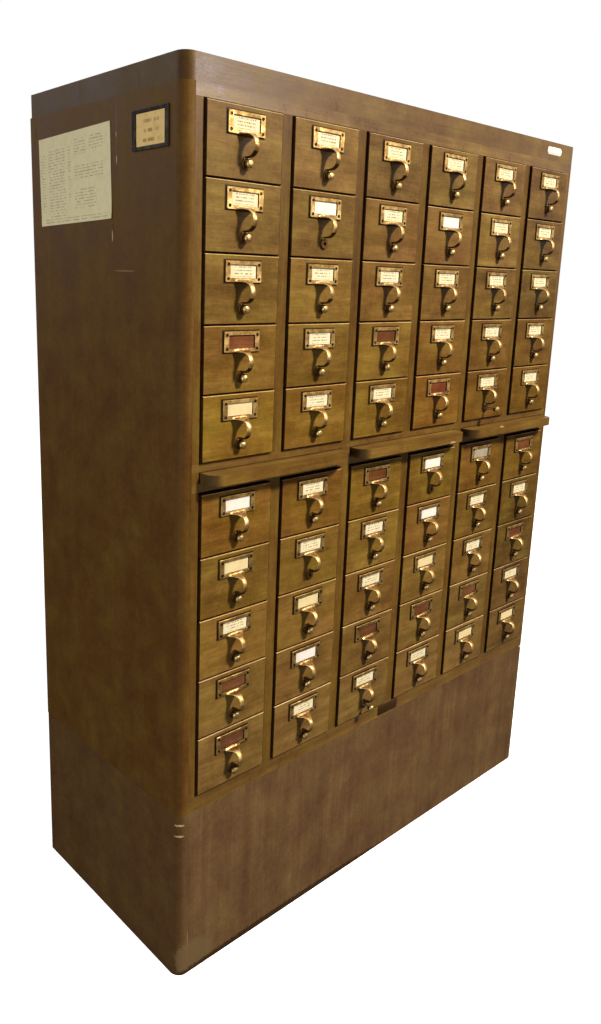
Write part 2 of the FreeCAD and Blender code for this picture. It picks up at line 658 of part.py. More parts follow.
def pull_screws():
    """Four round-headed screws through the plate into the front."""
    screws = []
    shank_radius = "Dims.screw_hole - Dims.screw_clear"
    shank_length = "Dims.plate_thick + Dims.screw_depth / 2"
    for number, (sx, sz) in enumerate(screw_places, start=1):
        x, z = screw_x(sx), screw_z(sz)
        plate_face = "-(Dims.front_proud + Dims.plate_thick)"
        head_start = (x, plate_face, z)
        head = round_bar(f"ScrewHead{number}", "Dims.screw_head", "Dims.screw_head_high", head_start, along_y)
        end_y = "Dims.screw_depth / 2 - Dims.front_proud"
        shank = round_bar(f"ScrewShank{number}", shank_radius, shank_length, (x, end_y, z), along_y)
        screws.append(joined(f"Screw{number}", [head, shank]))
    return screws


front = drawer_front()
box_pieces = drawer_box()
follower = follower_block()
rod_pieces = card_rod()
half_drawn_rod = bind(gather("HalfDrawnRod", rod_pieces), y="-Dims.rod_part_out")
pull = drawer_pull()
label = label_card()
screws = pull_screws()


def drawer_pieces(row, column):
    """What one drawer holds: every piece but its label or its rod where those are gone."""
    pieces = [front] + box_pieces + [follower, pull]
    if LABELS[row - 1][column - 1]:
        pieces.append(label)
    if (row, column) == HALF_DRAWN_ROD:
        pieces.append(half_drawn_rod)
    elif (row, column) not in NO_ROD:
        pieces += rod_pieces
    return pieces


# Upper block: each drawer is a part of its own, apart from the one that is taken to pieces.
for row in range(1, ROWS + 1):
    for column in range(1, COLUMNS + 1):
        if (row, column) == DRAWN_ROD:
            continue
        drawer = gather(f"Drawer_{row}_{column}", drawer_pieces(row, column))
        bind(drawer, x=column_x(column), y=FACE_Y, z=front_z(row))
        node(drawer, f"drawer_r{row}_c{column}")

# Lower block: three drawers side by side make one part.
for row in range(ROWS + 1, 2 * ROWS + 1):
    for first in range(1, COLUMNS + 1, COLUMNS_PER_GROUP):
        last = first + COLUMNS_PER_GROUP - 1
        members = []
        for column in range(first, last + 1):
            member = gather(f"Drawer_{row}_{column}", drawer_pieces(row, column))
            members.append(bind(member, x=column_x(column)))
        group = gather(f"Drawers_{row}_{first}", members)
        bind(group, y=FACE_Y, z=front_z(row))
        node(group, f"drawers_r{row}_c{first}_to_c{last}")

# The drawer whose rod is drawn out, as its separate pieces.
drawn_row, drawn_column = DRAWN_ROD
drawn_parts = {
    "front": [front],
    "box": box_pieces,
    "pull": [pull],
    "pull_screws": screws,
    "label_card": [label],
    "follower_block": [follower],
    "card_rod": rod_pieces,
}
for name, pieces in drawn_parts.items():
    piece = gather(f"Drawn_{name}", pieces)
    drawn_y = f"{FACE_Y} - Dims.rod_out" if name == "card_rod" else FACE_Y
    bind(piece, x=column_x(drawn_column), y=drawn_y, z=front_z(drawn_row))
    node(piece, f"drawer_r{drawn_row}_c{drawn_column}_{name}")

# Label holder on the left side panel: a metal rim over a card.
holder_x = f"{CASE_LEFT} - Dims.holder_thick"
holder_y = f"{FACE_Y} + Dims.holder_from_front"
holder_z = f"{CABINET_TOP} - Dims.holder_below_top - Dims.holder_high"
holder_size = ("Dims.holder_thick", "Dims.holder_long", "Dims.holder_high")
holder_plate = block("HolderPlate", holder_size, (holder_x, holder_y, holder_z))
opening_size = (
    "Dims.holder_thick",
    "Dims.holder_long - 2 * Dims.holder_rim",
    "Dims.holder_high - 2 * Dims.holder_band",
)
opening_corner = (holder_x, f"{holder_y} + Dims.holder_rim", f"{holder_z} + Dims.holder_band")
holder_rim = cut("HolderRim", holder_plate, block("HolderOpening", opening_size, opening_corner))
card_size = ("Dims.holder_card", opening_size[1], opening_size[2])
card_corner = (f"{CASE_LEFT} - Dims.holder_card", opening_corner[1], opening_corner[2])
holder_card = block("HolderCard", card_size, card_corner)
node(gather("SideLabel", [holder_rim, holder_card]), "side_label_holder")

# Paper sheet fixed flat on the left side panel behind the label holder.
index_sheet = block(
    "IndexSheet",
    ("Dims.sheet_thick", "Dims.sheet_long", "Dims.sheet_high"),
    (
        f"{CASE_LEFT} - Dims.sheet_thick",
        f"{holder_y} + Dims.holder_long + Dims.sheet_gap",
        f"{CABINET_TOP} - Dims.sheet_below_top - Dims.sheet_high",
    ),
)
node(index_sheet, "index_sheet")

doc.recompute()
for thing in doc.Objects:
    if "Invalid" in thing.State or "Error" in thing.State:
        raise RuntimeError(f"{thing.Name} ({thing.Label}) failed: {thing.State}")
for thing in nodes:
    if thing.Shape.isNull() or not thing.Shape.isValid():
        raise RuntimeError(f"{thing.Label} has no valid shape")
    if not thing.Shape.Solids:
        raise RuntimeError(f"{thing.Label} holds no solid")

os.makedirs("parts", exist_ok=True)
for thing in nodes:
    thing.Shape.exportStep(f"parts/{thing.Label}.step")
print(f"{len(nodes)} parts")
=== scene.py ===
import math
import random
from functools import partial

import bmesh
import bpy
from mathutils import Matrix, Vector


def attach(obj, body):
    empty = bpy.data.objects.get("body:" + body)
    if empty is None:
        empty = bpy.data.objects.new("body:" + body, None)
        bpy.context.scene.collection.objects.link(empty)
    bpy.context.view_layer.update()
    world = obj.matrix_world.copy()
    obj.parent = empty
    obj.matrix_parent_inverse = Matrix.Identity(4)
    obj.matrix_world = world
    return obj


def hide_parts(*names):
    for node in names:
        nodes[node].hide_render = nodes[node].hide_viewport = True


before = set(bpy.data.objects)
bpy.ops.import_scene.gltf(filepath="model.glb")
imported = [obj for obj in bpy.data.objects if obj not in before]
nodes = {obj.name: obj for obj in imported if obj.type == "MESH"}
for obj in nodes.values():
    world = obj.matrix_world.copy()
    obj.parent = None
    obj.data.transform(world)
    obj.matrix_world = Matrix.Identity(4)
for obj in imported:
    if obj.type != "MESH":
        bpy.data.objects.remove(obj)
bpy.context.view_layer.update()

# Plinth: four oak boards, butted at the corners and fumed to a grey brown. Mops and shoes took its
# gloss, so it is duller than the case, with chips at its corners, a grey scuff at its left foot and
# a dark band along the left part of its foot.
CHIP = "#b79c72"
DENT = "#2a1b0e"
# Colour of the painted shadow round a pull's plate.
PLATE_SHADOW_COLOUR = "#1d1208"
# Oak's pores are 0.3 mm wide, drawn 1.2 mm wide so that they show.
PORE_WIDTH, PORE_LENGTH = 0.0012, 0.016
# To the metre: 60 mm patches and 6 mm specks in the varnish, and the 4 mm teeth of a chip's rim.
PATCHES, SPECKS, TEETH = 16.0, 170.0, 260.0
GRAIN_SHARE, EVENED, SPECK_SHARE = 0.7, 0.588, 0.45
HUE_DRIFT, HUE_STEP = 0.07, 0.01
BOARD_SHIFT = (3.7, 5.3, 7.1)
ARRIS_ANGLE = math.radians(40)


def linear(code):
    """An sRGB hex colour in the linear numbers that Blender takes."""
    parts = [int(code[i : i + 2], 16) / 255 for i in (1, 3, 5)]
    return [p / 12.92 if p <= 0.04045 else ((p + 0.055) / 1.055) ** 2.4 for p in parts] + [1.0]


def set_up(node, settings=(), links=()):
    """Gives a node's properties or inputs their settings, and joins inputs to other nodes."""
    for key, value in dict(settings).items():
        if key == "stops":
            marks = node.color_ramp.elements
            while len(marks) < len(value):
                marks.new(1.0)
            for mark, (at, colour) in zip(marks, value):
                mark.position = at
                mark.color = linear(colour)
        elif isinstance(key, str) and hasattr(node, key):
            setattr(node, key, value)
        else:
            node.inputs[key].default_value = value
    for key, source in dict(links).items():
        joined = source if isinstance(source, bpy.types.NodeSocket) else source.outputs[0]
        node.id_data.links.new(joined, node.inputs[key])
    return node


def add_node(tree, kind, settings=(), links=()):
    """Adds a node to a material or world, with its settings and links."""
    return set_up(tree.nodes.new("ShaderNode" + kind), settings, links)


def new_finish(name):
    """A new material, its shader, and add_node for its own nodes."""
    finish = bpy.data.materials.new(name)
    finish.use_nodes = True
    tree = finish.node_tree
    return finish, tree.nodes["Principled BSDF"], partial(add_node, tree)


def pattern_place(add, shift):
    """A piece's coordinates, its "board" number, and the coordinates moved by shift times it."""
    place = add("TexCoord").outputs["Object"]
    board = add("Attribute", {"attribute_type": "OBJECT", "attribute_name": "board"}).outputs["Fac"]
    spot = add("VectorMath", {"operation": "MULTIPLY_ADD", 1: shift}, {0: board, 2: place})
    return place, board, spot


def oak(name, dark, base, light, run, roughness=0.45, shine=0.04, width=0.004, length=0.12,
        flank=(), marks=(), plate_shadow=()):
    """Oak under old varnish: streaks along the grain, darker pores, broad figure, a patchy skin.

    run is the way the grain goes, width and length are the sizes of its streaks. flank is the axis,
    colour and shine of the faces that look along that axis. marks are chips and scratches, as
    (middle, half sizes, colour). The last argument paints a shadow round a plate, as (x, z, half
    width, half height, reach). On an object "board" moves the pattern, "tone" lightens it, "warm"
    makes it yellower and "rich" deeper in colour."""
    finish, shader, add = new_finish(name)
    set_up(shader, {"Specular IOR Level": shine})
    place, _, spot = pattern_place(add, BOARD_SHIFT)
    noises = []
    streak, band = (width, length, 4.0), (8 * width, 4 * length, 2.0)
    for across, along, detail in (streak, band, (PORE_WIDTH, PORE_LENGTH, 1.0)):
        scale = [1 / across] * 3
        scale["XYZ".index(run)] = 1 / along
        fitted = add("Mapping", {"Scale": scale}, {"Vector": spot})
        settings = {"Scale": 1.0, "Detail": detail, "Roughness": 0.62}
        noises.append(add("TexNoise", settings, {"Vector": fitted}))
    grain, figure, pores = noises
    skin = add("TexNoise", {"Scale": PATCHES, "Detail": 5.0, "Roughness": 0.7}, {"Vector": spot})
    mottle = add("TexNoise", {"Scale": SPECKS, "Detail": 3.0, "Roughness": 0.6}, {"Vector": spot})
    streaks = add("Math", {"operation": "MULTIPLY_ADD", 1: GRAIN_SHARE}, {0: grain, 2: figure})
    mean = add("Math", {"operation": "MULTIPLY", 1: EVENED}, {0: streaks})
    wood = add("ValToRGB", {"stops": [(0.30, dark), (0.5, base), (0.70, light)]}, {"Fac": mean})
    pitted = add("MapRange", {"From Min": 0.6, "From Max": 0.72, "To Max": 0.4}, {"Value": pores})
    pored = add("Mix", {"data_type": "RGBA", 7: linear(dark)}, {0: pitted, 6: wood})
    colour = pored.outputs[2]
    dull = add("MapRange", {"From Min": 0.3, "From Max": 0.7, "To Min": roughness - 0.07,
                            "To Max": roughness + 0.09}, {"Value": skin})
    if flank:
        axis, flank_colour, flank_shine = flank
        way = add("SeparateXYZ", {}, {0: add("TexCoord").outputs["Normal"]})
        square = add("Math", {"operation": "ABSOLUTE"}, {0: way.outputs[axis]})
        aslant = add("MapRange", {"From Min": 0.05, "From Max": 0.6, "To Max": 0.85},
                     {"Value": square})
        darker = add("Mix", {"data_type": "RGBA", 7: linear(flank_colour)}, {0: aslant, 6: colour})
        colour = darker.outputs[2]
        dull = add("Math", {"operation": "MULTIPLY_ADD", 1: 0.2}, {0: aslant, 2: dull})
        if flank_shine != shine:
            gloss = add("MapRange", {"From Max": 0.85, "To Min": shine, "To Max": flank_shine},
                        {"Value": aslant})
            set_up(shader, {}, {"Specular IOR Level": gloss})
    specks = add("Math", {"operation": "MULTIPLY_ADD", 1: SPECK_SHARE}, {0: mottle, 2: skin})
    patch = add("MapRange", {"From Min": 0.45, "From Max": 1.0, "To Min": -0.3, "To Max": 0.3},
                {"Value": specks})
    tone, warm, rich = (
        add("Attribute", {"attribute_type": "OBJECT", "attribute_name": called}).outputs["Fac"]
        for called in ("tone", "warm", "rich")
    )
    lift = add("Math", {"operation": "ADD"}, {0: patch, 1: tone})
    level = add("Math", {"operation": "ADD", 1: 1.0}, {0: lift})
    centred = {"operation": "MULTIPLY_ADD", 1: HUE_DRIFT, 2: 0.5 - HUE_DRIFT / 2}
    drift = add("Math", centred, {0: skin})
    hue = add("Math", {"operation": "MULTIPLY_ADD", 1: HUE_STEP}, {0: warm, 2: drift})
    full = add("Math", {"operation": "ADD", 1: 1.0}, {0: rich})
    shift = {"Color": colour, "Value": level, "Hue": hue, "Saturation": full}
    toned = add("HueSaturation", {}, shift)
    colour = toned.outputs[0]
    # Painted shadow round the brass plate, set a little to its left.
    if plate_shadow:
        x, z, half_x, half_z, reach = plate_shadow
        axes = add("SeparateXYZ", {}, {0: place})
        beyond = []
        for axis, middle, half in (("X", x, half_x), ("Z", z, half_z)):
            off = add("Math", {"operation": "SUBTRACT", 1: middle}, {0: axes.outputs[axis]})
            size = add("Math", {"operation": "ABSOLUTE"}, {0: off})
            beyond.append(add("Math", {"operation": "SUBTRACT", 1: half}, {0: size}))
        farther = add("Math", {"operation": "MAXIMUM"}, {0: beyond[0], 1: beyond[1]})
        shadow_mask = add("MapRange", {"From Min": 0.4 * reach, "From Max": reach, "To Min": 0.9,
                                "To Max": 0.0}, {"Value": farther})
        plate_shaded = add("Mix", {"data_type": "RGBA", 7: linear(PLATE_SHADOW_COLOUR)}, {0: shadow_mask, 6: colour})
        colour = plate_shaded.outputs[2]
    if marks:
        ragged = add("TexNoise", {"Scale": TEETH, "Detail": 2.0}, {"Vector": place})
    for middle, half, mark_colour in marks:
        off = add("VectorMath", {"operation": "SUBTRACT", 1: middle}, {0: place})
        part = add("VectorMath", {"operation": "DIVIDE", 1: half}, {0: off})
        far = add("VectorMath", {"operation": "LENGTH"}, {0: part})
        torn = add("Math", {"operation": "ADD"}, {0: far.outputs["Value"], 1: ragged})
        mask = add("MapRange", {"From Min": 1.35, "From Max": 1.6, "To Min": 0.85, "To Max": 0.0},
                   {"Value": torn})
        marked = add("Mix", {"data_type": "RGBA", 7: linear(mark_colour)}, {0: mask, 6: colour})
        colour = marked.outputs[2]
    relief = add("Math", {"operation": "MULTIPLY_ADD", 1: -0.8}, {0: pitted, 2: grain})
    bump = add("Bump", {"Strength": 0.3, "Distance": 0.0003}, {"Height": relief})
    set_up(shader, {}, {"Base Color": colour, "Roughness": dull, "Normal": bump})
    return finish


def dress(name, finish, arris, ease, board):
    """Gives a node of the frame its finish and eases its arrises, where the rubbed wood shows."""
    piece = nodes[name]
    piece.data.materials.clear()
    piece.data.materials.append(finish)
    piece.data.materials.append(arris)
    eased = piece.modifiers.new("eased", "BEVEL")
    eased.width = ease
    eased.segments = 2
    eased.limit_method = "ANGLE"
    eased.angle_limit = ARRIS_ANGLE
    eased.material = 1
    eased.harden_normals = True
    piece["board"] = board


plinth_marks = [
    ((-0.4945, -0.193, 0.05), (0.0012, 0.004, 0.034), "#8a7350"),
    ((-0.509, -0.2, 0.2832), (0.007, 0.03, 0.002), CHIP),
    ((-0.509, -0.2, 0.2636), (0.007, 0.03, 0.002), CHIP),
    ((0.502, -0.1925, 0.2975), (0.006, 0.004, 0.003), "#e4d9c2"),
    ((-0.49, -0.1925, 0.03), (0.05, 0.01, 0.03), "#6e5a3e"),
    ((-0.28, -0.1925, 0.0), (0.3, 0.01, 0.012), DENT),
]
# Fumed oak, scuffed: a brown with some grey in it and next to no glare, darker on the sides.
plinth_oak = oak("fumed oak, scuffed", "#5a432c", "#654c31", "#70573a", "Z", roughness=0.55,
                 shine=0.07, width=0.003, flank=("X", "#4d3519", 0.07), marks=plinth_marks)
# Its arrises, worn through the stain: a shade paler and quite matt.
plinth_arris = oak("fumed oak, worn through", "#57401f", "#6c502c", "#84653c", "Z", roughness=0.6,
                   flank=("X", "#5a3f1a", 0.05))
dress("plinth", plinth_oak, plinth_arris, 0.0012, board=1.0)

# Side panels: two wide oak boards with a rounded front corner, in a dark fumed finish. The left one
# has a drying crack by the label holder and a scratch under the sheet.
side_marks = [
    ((-0.515, -0.031, 1.345), (0.004, 0.0012, 0.055), "#5d4c38"),
    ((-0.515, -0.031, 1.30), (0.004, 0.0012, 0.006), CHIP),
    ((-0.515, -0.03, 1.335), (0.004, 0.001, 0.004), CHIP),
    ((-0.515, -0.020, 1.204), (0.004, 0.0012, 0.011), DENT),
    ((-0.515, -0.018, 1.193), (0.004, 0.0014, 0.008), CHIP),
    ((-0.515, -0.05, 1.142), (0.004, 0.028, 0.0012), "#7a6243"),
    ((-0.515, 0.21, 1.36), (0.004, 0.002, 0.009), DENT),
]
# Fumed oak under thin varnish: deep brown with fine upright grain and a soft sheen up high.
side_oak = oak("fumed oak, varnished", "#4a3311", "#60431c", "#76562b", "Z", roughness=0.4,
               shine=0.07, width=0.003, flank=("X", "#503511", 0.07), marks=side_marks)
# Its arrises, rubbed by hands: a thin warm line, paler than the board.
side_arris = oak("fumed oak, rubbed arris", "#5c4123", "#76562f", "#8f6b3d", "Z", roughness=0.45)
dress("side_panel_left", side_oak, side_arris, 0.0008, board=2.0)
dress("side_panel_right", side_oak, side_arris, 0.0008, board=3.0)

# Top: one thick oak slab, its upper edge rounded over, glossier than the rest. Its sawn ends took
# more of the stain, and the left one has two short cracks.
top_marks = [
    ((-0.515, 0.069, 1.402), (0.004, 0.0016, 0.018), DENT),
    ((-0.515, -0.089, 1.40), (0.004, 0.0014, 0.014), DENT),
]
# Golden oak under thick varnish: a pale glare along the front edge, near black-brown on the ends.
top_oak = oak("golden oak, glossy varnish", "#5c421b", "#694d22", "#77592c", "X", roughness=0.33,
              shine=0.22, width=0.003, flank=("X", "#3f2c16", 0.07), marks=top_marks)
# Its rounded edge, where dusters thinned the varnish: paler, with a softer glare.
top_arris = oak("golden oak, rubbed arris", "#745935", "#86683f", "#9b7d52", "X", roughness=0.33,
                shine=0.15, flank=("X", "#5c4830", 0.12))
dress("top_cap", top_oak, top_arris, 0.0025, board=4.0)

# Frame: four rails and the stiles between the columns, which are the front edges of the partitions.
# A little darker than the drawer fronts, because they were cut from other boards.

# Varnished oak rails: brown, with the strongest glare on the top one.
rail_oak = oak("red-brown oak rail", "#543a16", "#6b4e20", "#83642e", "X", roughness=0.3,
               shine=0.26)
# Varnished oak stiles: the same brown with upright grain and half the glare.
stile_oak = oak("red-brown oak stile", "#503814", "#664a1c", "#7c5e29", "Z", roughness=0.36,
                shine=0.12)
# Their arrises, rubbed to bare wood and with a painted highlight: fine light lines round every
# opening.
frame_arris_lit = oak("red-brown oak, rubbed arris, painted highlight", "#8d6c44", "#a98556", "#c29f72", "X",
                  roughness=0.35, shine=0.1)
dress("front_rails", rail_oak, frame_arris_lit, 0.0009, board=5.0)
dress("partitions", stile_oak, frame_arris_lit, 0.0009, board=6.0)

# Inside of the case: decks of plain unvarnished oak, darkened by dust, and the runners nailed to
# the partitions, two to a drawer.

# Raw oak, dusty: flat brown without any glare.
inner_oak = oak("raw oak, dusty", "#5a452c", "#715839", "#876c49", "X", roughness=0.75)
# Raw oak runners, polished by the drawers: paler and a little smoother.
runner_oak = oak("raw oak runner, rubbed", "#6d5334", "#866944", "#9d8058", "Y", roughness=0.6)
dress("decks", inner_oak, inner_oak, 0.0004, board=7.0)
dress("drawer_runners", runner_oak, runner_oak, 0.0004, board=8.0)

# Back: a thin sheet of pine board, stained once and let in between the side panels. It was never
# meant to be seen.

# Stained pine: broad soft stripes, matt.
back_board = oak("stained pine board", "#4f3a22", "#67502f", "#7d643f", "Z", roughness=0.7,
                 width=0.012, length=0.4)
dress("back_panel", back_board, back_board, 0.0005, board=9.0)

# Pull-out shelves: three oak boards that fill the slots between the two blocks of drawers. Their
# lips stand out over the lower drawers, with round corners and chipped, rubbed arrises.
shelf_marks = [
    ((0.1075, -0.224, 0.8415), (0.009, 0.004, 0.003), CHIP),
    ((0.276, -0.224, 0.8565), (0.007, 0.004, 0.0025), CHIP),
]
# Golden oak handled every day: brown with a low sheen, in painted shade on the ends of the lips.
shelf_oak = oak("golden oak shelf", "#573c17", "#705222", "#886934", "X", roughness=0.36,
                shine=0.09, flank=("X", "#3a2a16", 0.09), marks=shelf_marks)
# Its arrises, worn to bare oak and with a painted highlight: a pale straw-coloured line along each
# lip, in painted shade on the ends.
shelf_arris_lit = oak("golden oak shelf, worn arris, painted highlight", "#8f7448", "#b09468", "#cdb48c", "X",
                  roughness=0.4, flank=("X", "#5c4426", 0.05), marks=shelf_marks)
for number, name in enumerate(("left", "middle", "right")):
    dress(f"shelf_{name}", shelf_oak, shelf_arris_lit, 0.0019, board=10.0 + number)

# Drawer fronts: solid oak, 141 by 97 mm and 19 mm thick, that stand 5 mm proud of the frame. The
# front arris is eased, and a hole lets the card rod through.
BLOCK_ROWS, COLUMNS = 5, 6
CENTRE_X = 0.0012
COLUMN_PITCH = 0.165
ROW_PITCH = 0.09925
LOWEST_FRONT = {"upper": 0.87225, "lower": 0.32975}
FRAME_FACE = -0.1925
FRONT_WIDTH, FRONT_HEIGHT = 0.141, 0.09725
FRONT_FACE, FRONT_BACK = -0.0048, 0.0142
FRONT_EASE = 0.0012
ROD_HEIGHT = 0.02125
ROD_HOLE = 0.00275
TINY = 1e-9
# Front slots: the upper arris, worn and with a painted highlight; the other edges, in painted
# shade.
RUBBED_AND_LIT, SOILED_AND_SHADED = 1, 2


def drawer_place(row, column):
    """Where a drawer's zero lies: middle and lower edge of its front, on the frame's face."""
    block, lowest = ("upper", BLOCK_ROWS) if row <= BLOCK_ROWS else ("lower", 2 * BLOCK_ROWS)
    x = CENTRE_X + (column - (COLUMNS + 1) / 2) * COLUMN_PITCH
    return Vector((x, FRAME_FACE, LOWEST_FRONT[block] + (lowest - row) * ROW_PITCH))


def skin(bm, rings, around=False, finish=0):
    """Joins rings of points, equal in number, with a skin of faces, closed at its two ends or, with
    around, from the last ring to the first."""
    loops = [[bm.verts.new(point) for point in ring] for ring in rings]
    pairs = list(zip(loops, loops[1:]))
    if around:
        pairs.append((loops[-1], loops[0]))
    faces = []
    for first, second in pairs:
        count = len(first)
        for i in range(count):
            j = (i + 1) % count
            faces.append(bm.faces.new((first[i], first[j], second[j], second[i])))
    if not around:
        faces.append(bm.faces.new(loops[0]))
        faces.append(bm.faces.new(list(reversed(loops[-1]))))
    for face in faces:
        face.material_index = finish
    return faces


def finished(bm, name, finishes, crisp=35):
    """The mesh of a piece: smooth over its rounds, crisp where it turns more than crisp degrees."""
    bmesh.ops.recalc_face_normals(bm, faces=bm.faces)
    mesh = bpy.data.meshes.new(name)
    bm.to_mesh(mesh)
    bm.free()
    for finish in finishes:
        mesh.materials.append(finish)
    mesh.shade_smooth()
    mesh.set_sharp_from_angle(angle=math.radians(crisp))
    return mesh


def new_object(name, data):
    """A new object in the scene."""
    made = bpy.data.objects.new(name, data)
    bpy.context.scene.collection.objects.link(made)
    return made


def fit(name, mesh, body, place=(0.0, 0.0, 0.0), stands_for=(), turn=(0.0, 0.0, 0.0)):
    """Puts a piece in its place on its body, to stand for nodes of the frame."""
    piece = new_object(name, mesh)
    piece.location = place
    piece.rotation_euler = turn
    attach(piece, body)
    if stands_for:
        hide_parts(*stands_for)
    return piece


def hole_to_edge(half, low, top, count):
    """Angles round the rod's hole, count of them plus the corners', and a board's edge at each."""
    corners = [(half, top), (-half, top), (-half, low), (half, low)]
    angles = [math.atan2(z - ROD_HEIGHT, x) for x, z in corners]
    angles += [2 * math.pi * k / count for k in range(count)]
    angles = sorted({round(a % (2 * math.pi), 5) for a in angles})
    edge = []
    for angle in angles:
        dx, dz = math.cos(angle), math.sin(angle)
        upright = top - ROD_HEIGHT if dz > 0 else ROD_HEIGHT - low
        reach = min(half / max(abs(dx), TINY), upright / max(abs(dz), TINY))
        edge.append((reach * dx, ROD_HEIGHT + reach * dz))
    return angles, edge


def front_mesh():
    """A front as rings of points from the rod's hole out to its edge and round again."""
    angles, edge = hole_to_edge(FRONT_WIDTH / 2, 0.0, FRONT_HEIGHT, 24)

    def outline(y, inset):
        sx, sz = 1 - 2 * inset / FRONT_WIDTH, 1 - 2 * inset / FRONT_HEIGHT
        middle = FRONT_HEIGHT / 2
        return [(x * sx, y, middle + (z - middle) * sz) for x, z in edge]

    def hole(y):
        return [(ROD_HOLE * math.cos(a), y, ROD_HEIGHT + ROD_HOLE * math.sin(a)) for a in angles]

    bm = bmesh.new()
    faces = skin(bm, [
        hole(FRONT_BACK),
        hole(FRONT_FACE),
        outline(FRONT_FACE, FRONT_EASE),
        outline(FRONT_FACE + 0.3 * FRONT_EASE, 0.3 * FRONT_EASE),
        outline(FRONT_FACE + FRONT_EASE, 0.0),
        outline(FRONT_BACK, 0.0),
    ], around=True)
    # The upper arris gets the painted highlight, the other edges the painted shade.
    band = 0.9 * FRONT_EASE
    for face in faces:
        middle = face.calc_center_median()
        inset = min(FRONT_WIDTH / 2 - abs(middle.x), middle.z, FRONT_HEIGHT - middle.z)
        if inset < band:
            upper_arris = FRONT_HEIGHT - middle.z < band and middle.y < FRONT_FACE + band
            face.material_index = RUBBED_AND_LIT if upper_arris else SOILED_AND_SHADED
    return bm


PLATE_HALF, PLATE_LOW, PLATE_TOP = 0.034, 0.05905, 0.08905
# The painted shadow round the plate sits 1 mm to its left and fades out 2.8 mm from it.
SHADOW_ASIDE, SHADOW_REACH = -0.001, 0.0028
shadow_round_plate = (SHADOW_ASIDE, (PLATE_LOW + PLATE_TOP) / 2, PLATE_HALF, (PLATE_TOP - PLATE_LOW) / 2,
               SHADOW_REACH)
# Golden oak aged olive brown: fine level grain, a low sheen, and a painted shadow round the brass
# plate.
front_oak = oak("golden oak front", "#5f471d", "#76592a", "#8d6d3a", "X", roughness=0.38,
                shine=0.07, width=0.0025, length=0.035, plate_shadow=shadow_round_plate)
# The upper arris, rubbed by hands: a light line that is also a painted highlight of the lamp.
front_arris_lit = oak("golden oak front, rubbed arris, painted highlight", "#a07d4a", "#bd9a68", "#d6b68c", "X",
                  roughness=0.42)
# The other edges, near black, soiled and in painted shade: they draw the dark gap round each front.
front_edge_shaded = oak("golden oak front, soiled edge, painted shade", "#1a0e05", "#261608", "#38230e", "X",
                 roughness=0.6)
front = finished(front_mesh(), "drawer_front", [front_oak, front_arris_lit, front_edge_shaded], crisp=15)

# Drawer boxes: two sides, a bottom and a back of thin poplar, nailed together and left raw. A
# sloped block stands behind the cards, and the rod runs through it.
SIDE_THICK, BOX_HALF, BOX_END = 0.0065, 0.070, 0.380
BOX_LOW, BOX_TOP, BOX_BACK_TOP = 0.0083, 0.07025, 0.06425
BOTTOM_THICK = 0.005
FOLLOWER_HALF, FOLLOWER_REAR, FOLLOWER_LOW, FOLLOWER_TOP = 0.059, 0.3615, 0.0136, 0.06725
FOLLOWER_FOOT, FOLLOWER_HEAD = 0.028, 0.012
BOARD_EASE = 0.0004


def board(bm, low, high, ease=BOARD_EASE):
    """A board between two corners, with eased arrises."""
    low, high = Vector(low), Vector(high)
    size = high - low
    made = bmesh.ops.create_cube(bm, size=1.0)["verts"]
    for vert in made:
        vert.co = low + Vector([(vert.co[i] + 0.5) * size[i] for i in range(3)])
    edges = []
    for vert in made:
        edges += [edge for edge in vert.link_edges if edge not in edges]
    bmesh.ops.bevel(bm, geom=edges, offset=ease, segments=1, affect="EDGES")


def bored_board(bm, half, low, top, y_front, y_back, slope=0.0):
    """An upright board with a hole through it for the rod. Its front leans back by slope."""
    angles, edge = hole_to_edge(half, low, top, 20)
    hole = [(ROD_HOLE * math.cos(a), ROD_HEIGHT + ROD_HOLE * math.sin(a)) for a in angles]

    def stood(points, y, lean):
        return [(x, y + lean * (z - low) / (top - low), z) for x, z in points]

    skin(bm, [stood(hole, y_back, 0.0), stood(hole, y_front, slope),
              stood(edge, y_front, slope), stood(edge, y_back, 0.0)], around=True)


# Raw poplar: pale greenish straw, matt, with broad quiet grain.
poplar = oak("raw poplar", "#7d6340", "#9b7f55", "#b3986c", "Y", roughness=0.7, width=0.008,
             length=0.25)
# A thicker poplar block, sawn across: the same colour with closer grain.
block_wood = oak("raw poplar block", "#7a5f3c", "#967a50", "#ad9268", "X", roughness=0.65)
bm = bmesh.new()
for side in (-1, 1):
    inner, outer = sorted((side * (BOX_HALF - SIDE_THICK), side * BOX_HALF))
    board(bm, (inner, FRONT_BACK, BOX_LOW), (outer, BOX_END, BOX_TOP))
board(bm, (-BOX_HALF + SIDE_THICK, FRONT_BACK, BOX_LOW),
      (BOX_HALF - SIDE_THICK, BOX_END, BOX_LOW + BOTTOM_THICK))
bored_board(bm, BOX_HALF - SIDE_THICK, BOX_LOW + BOTTOM_THICK, BOX_BACK_TOP,
            BOX_END - SIDE_THICK, BOX_END)
box = finished(bm, "drawer_box", [poplar])
bm = bmesh.new()
bored_board(bm, FOLLOWER_HALF, FOLLOWER_LOW, FOLLOWER_TOP, FOLLOWER_REAR - FOLLOWER_FOOT,
            FOLLOWER_REAR, slope=FOLLOWER_FOOT - FOLLOWER_HEAD)
follower = finished(bm, "follower_block", [block_wood])

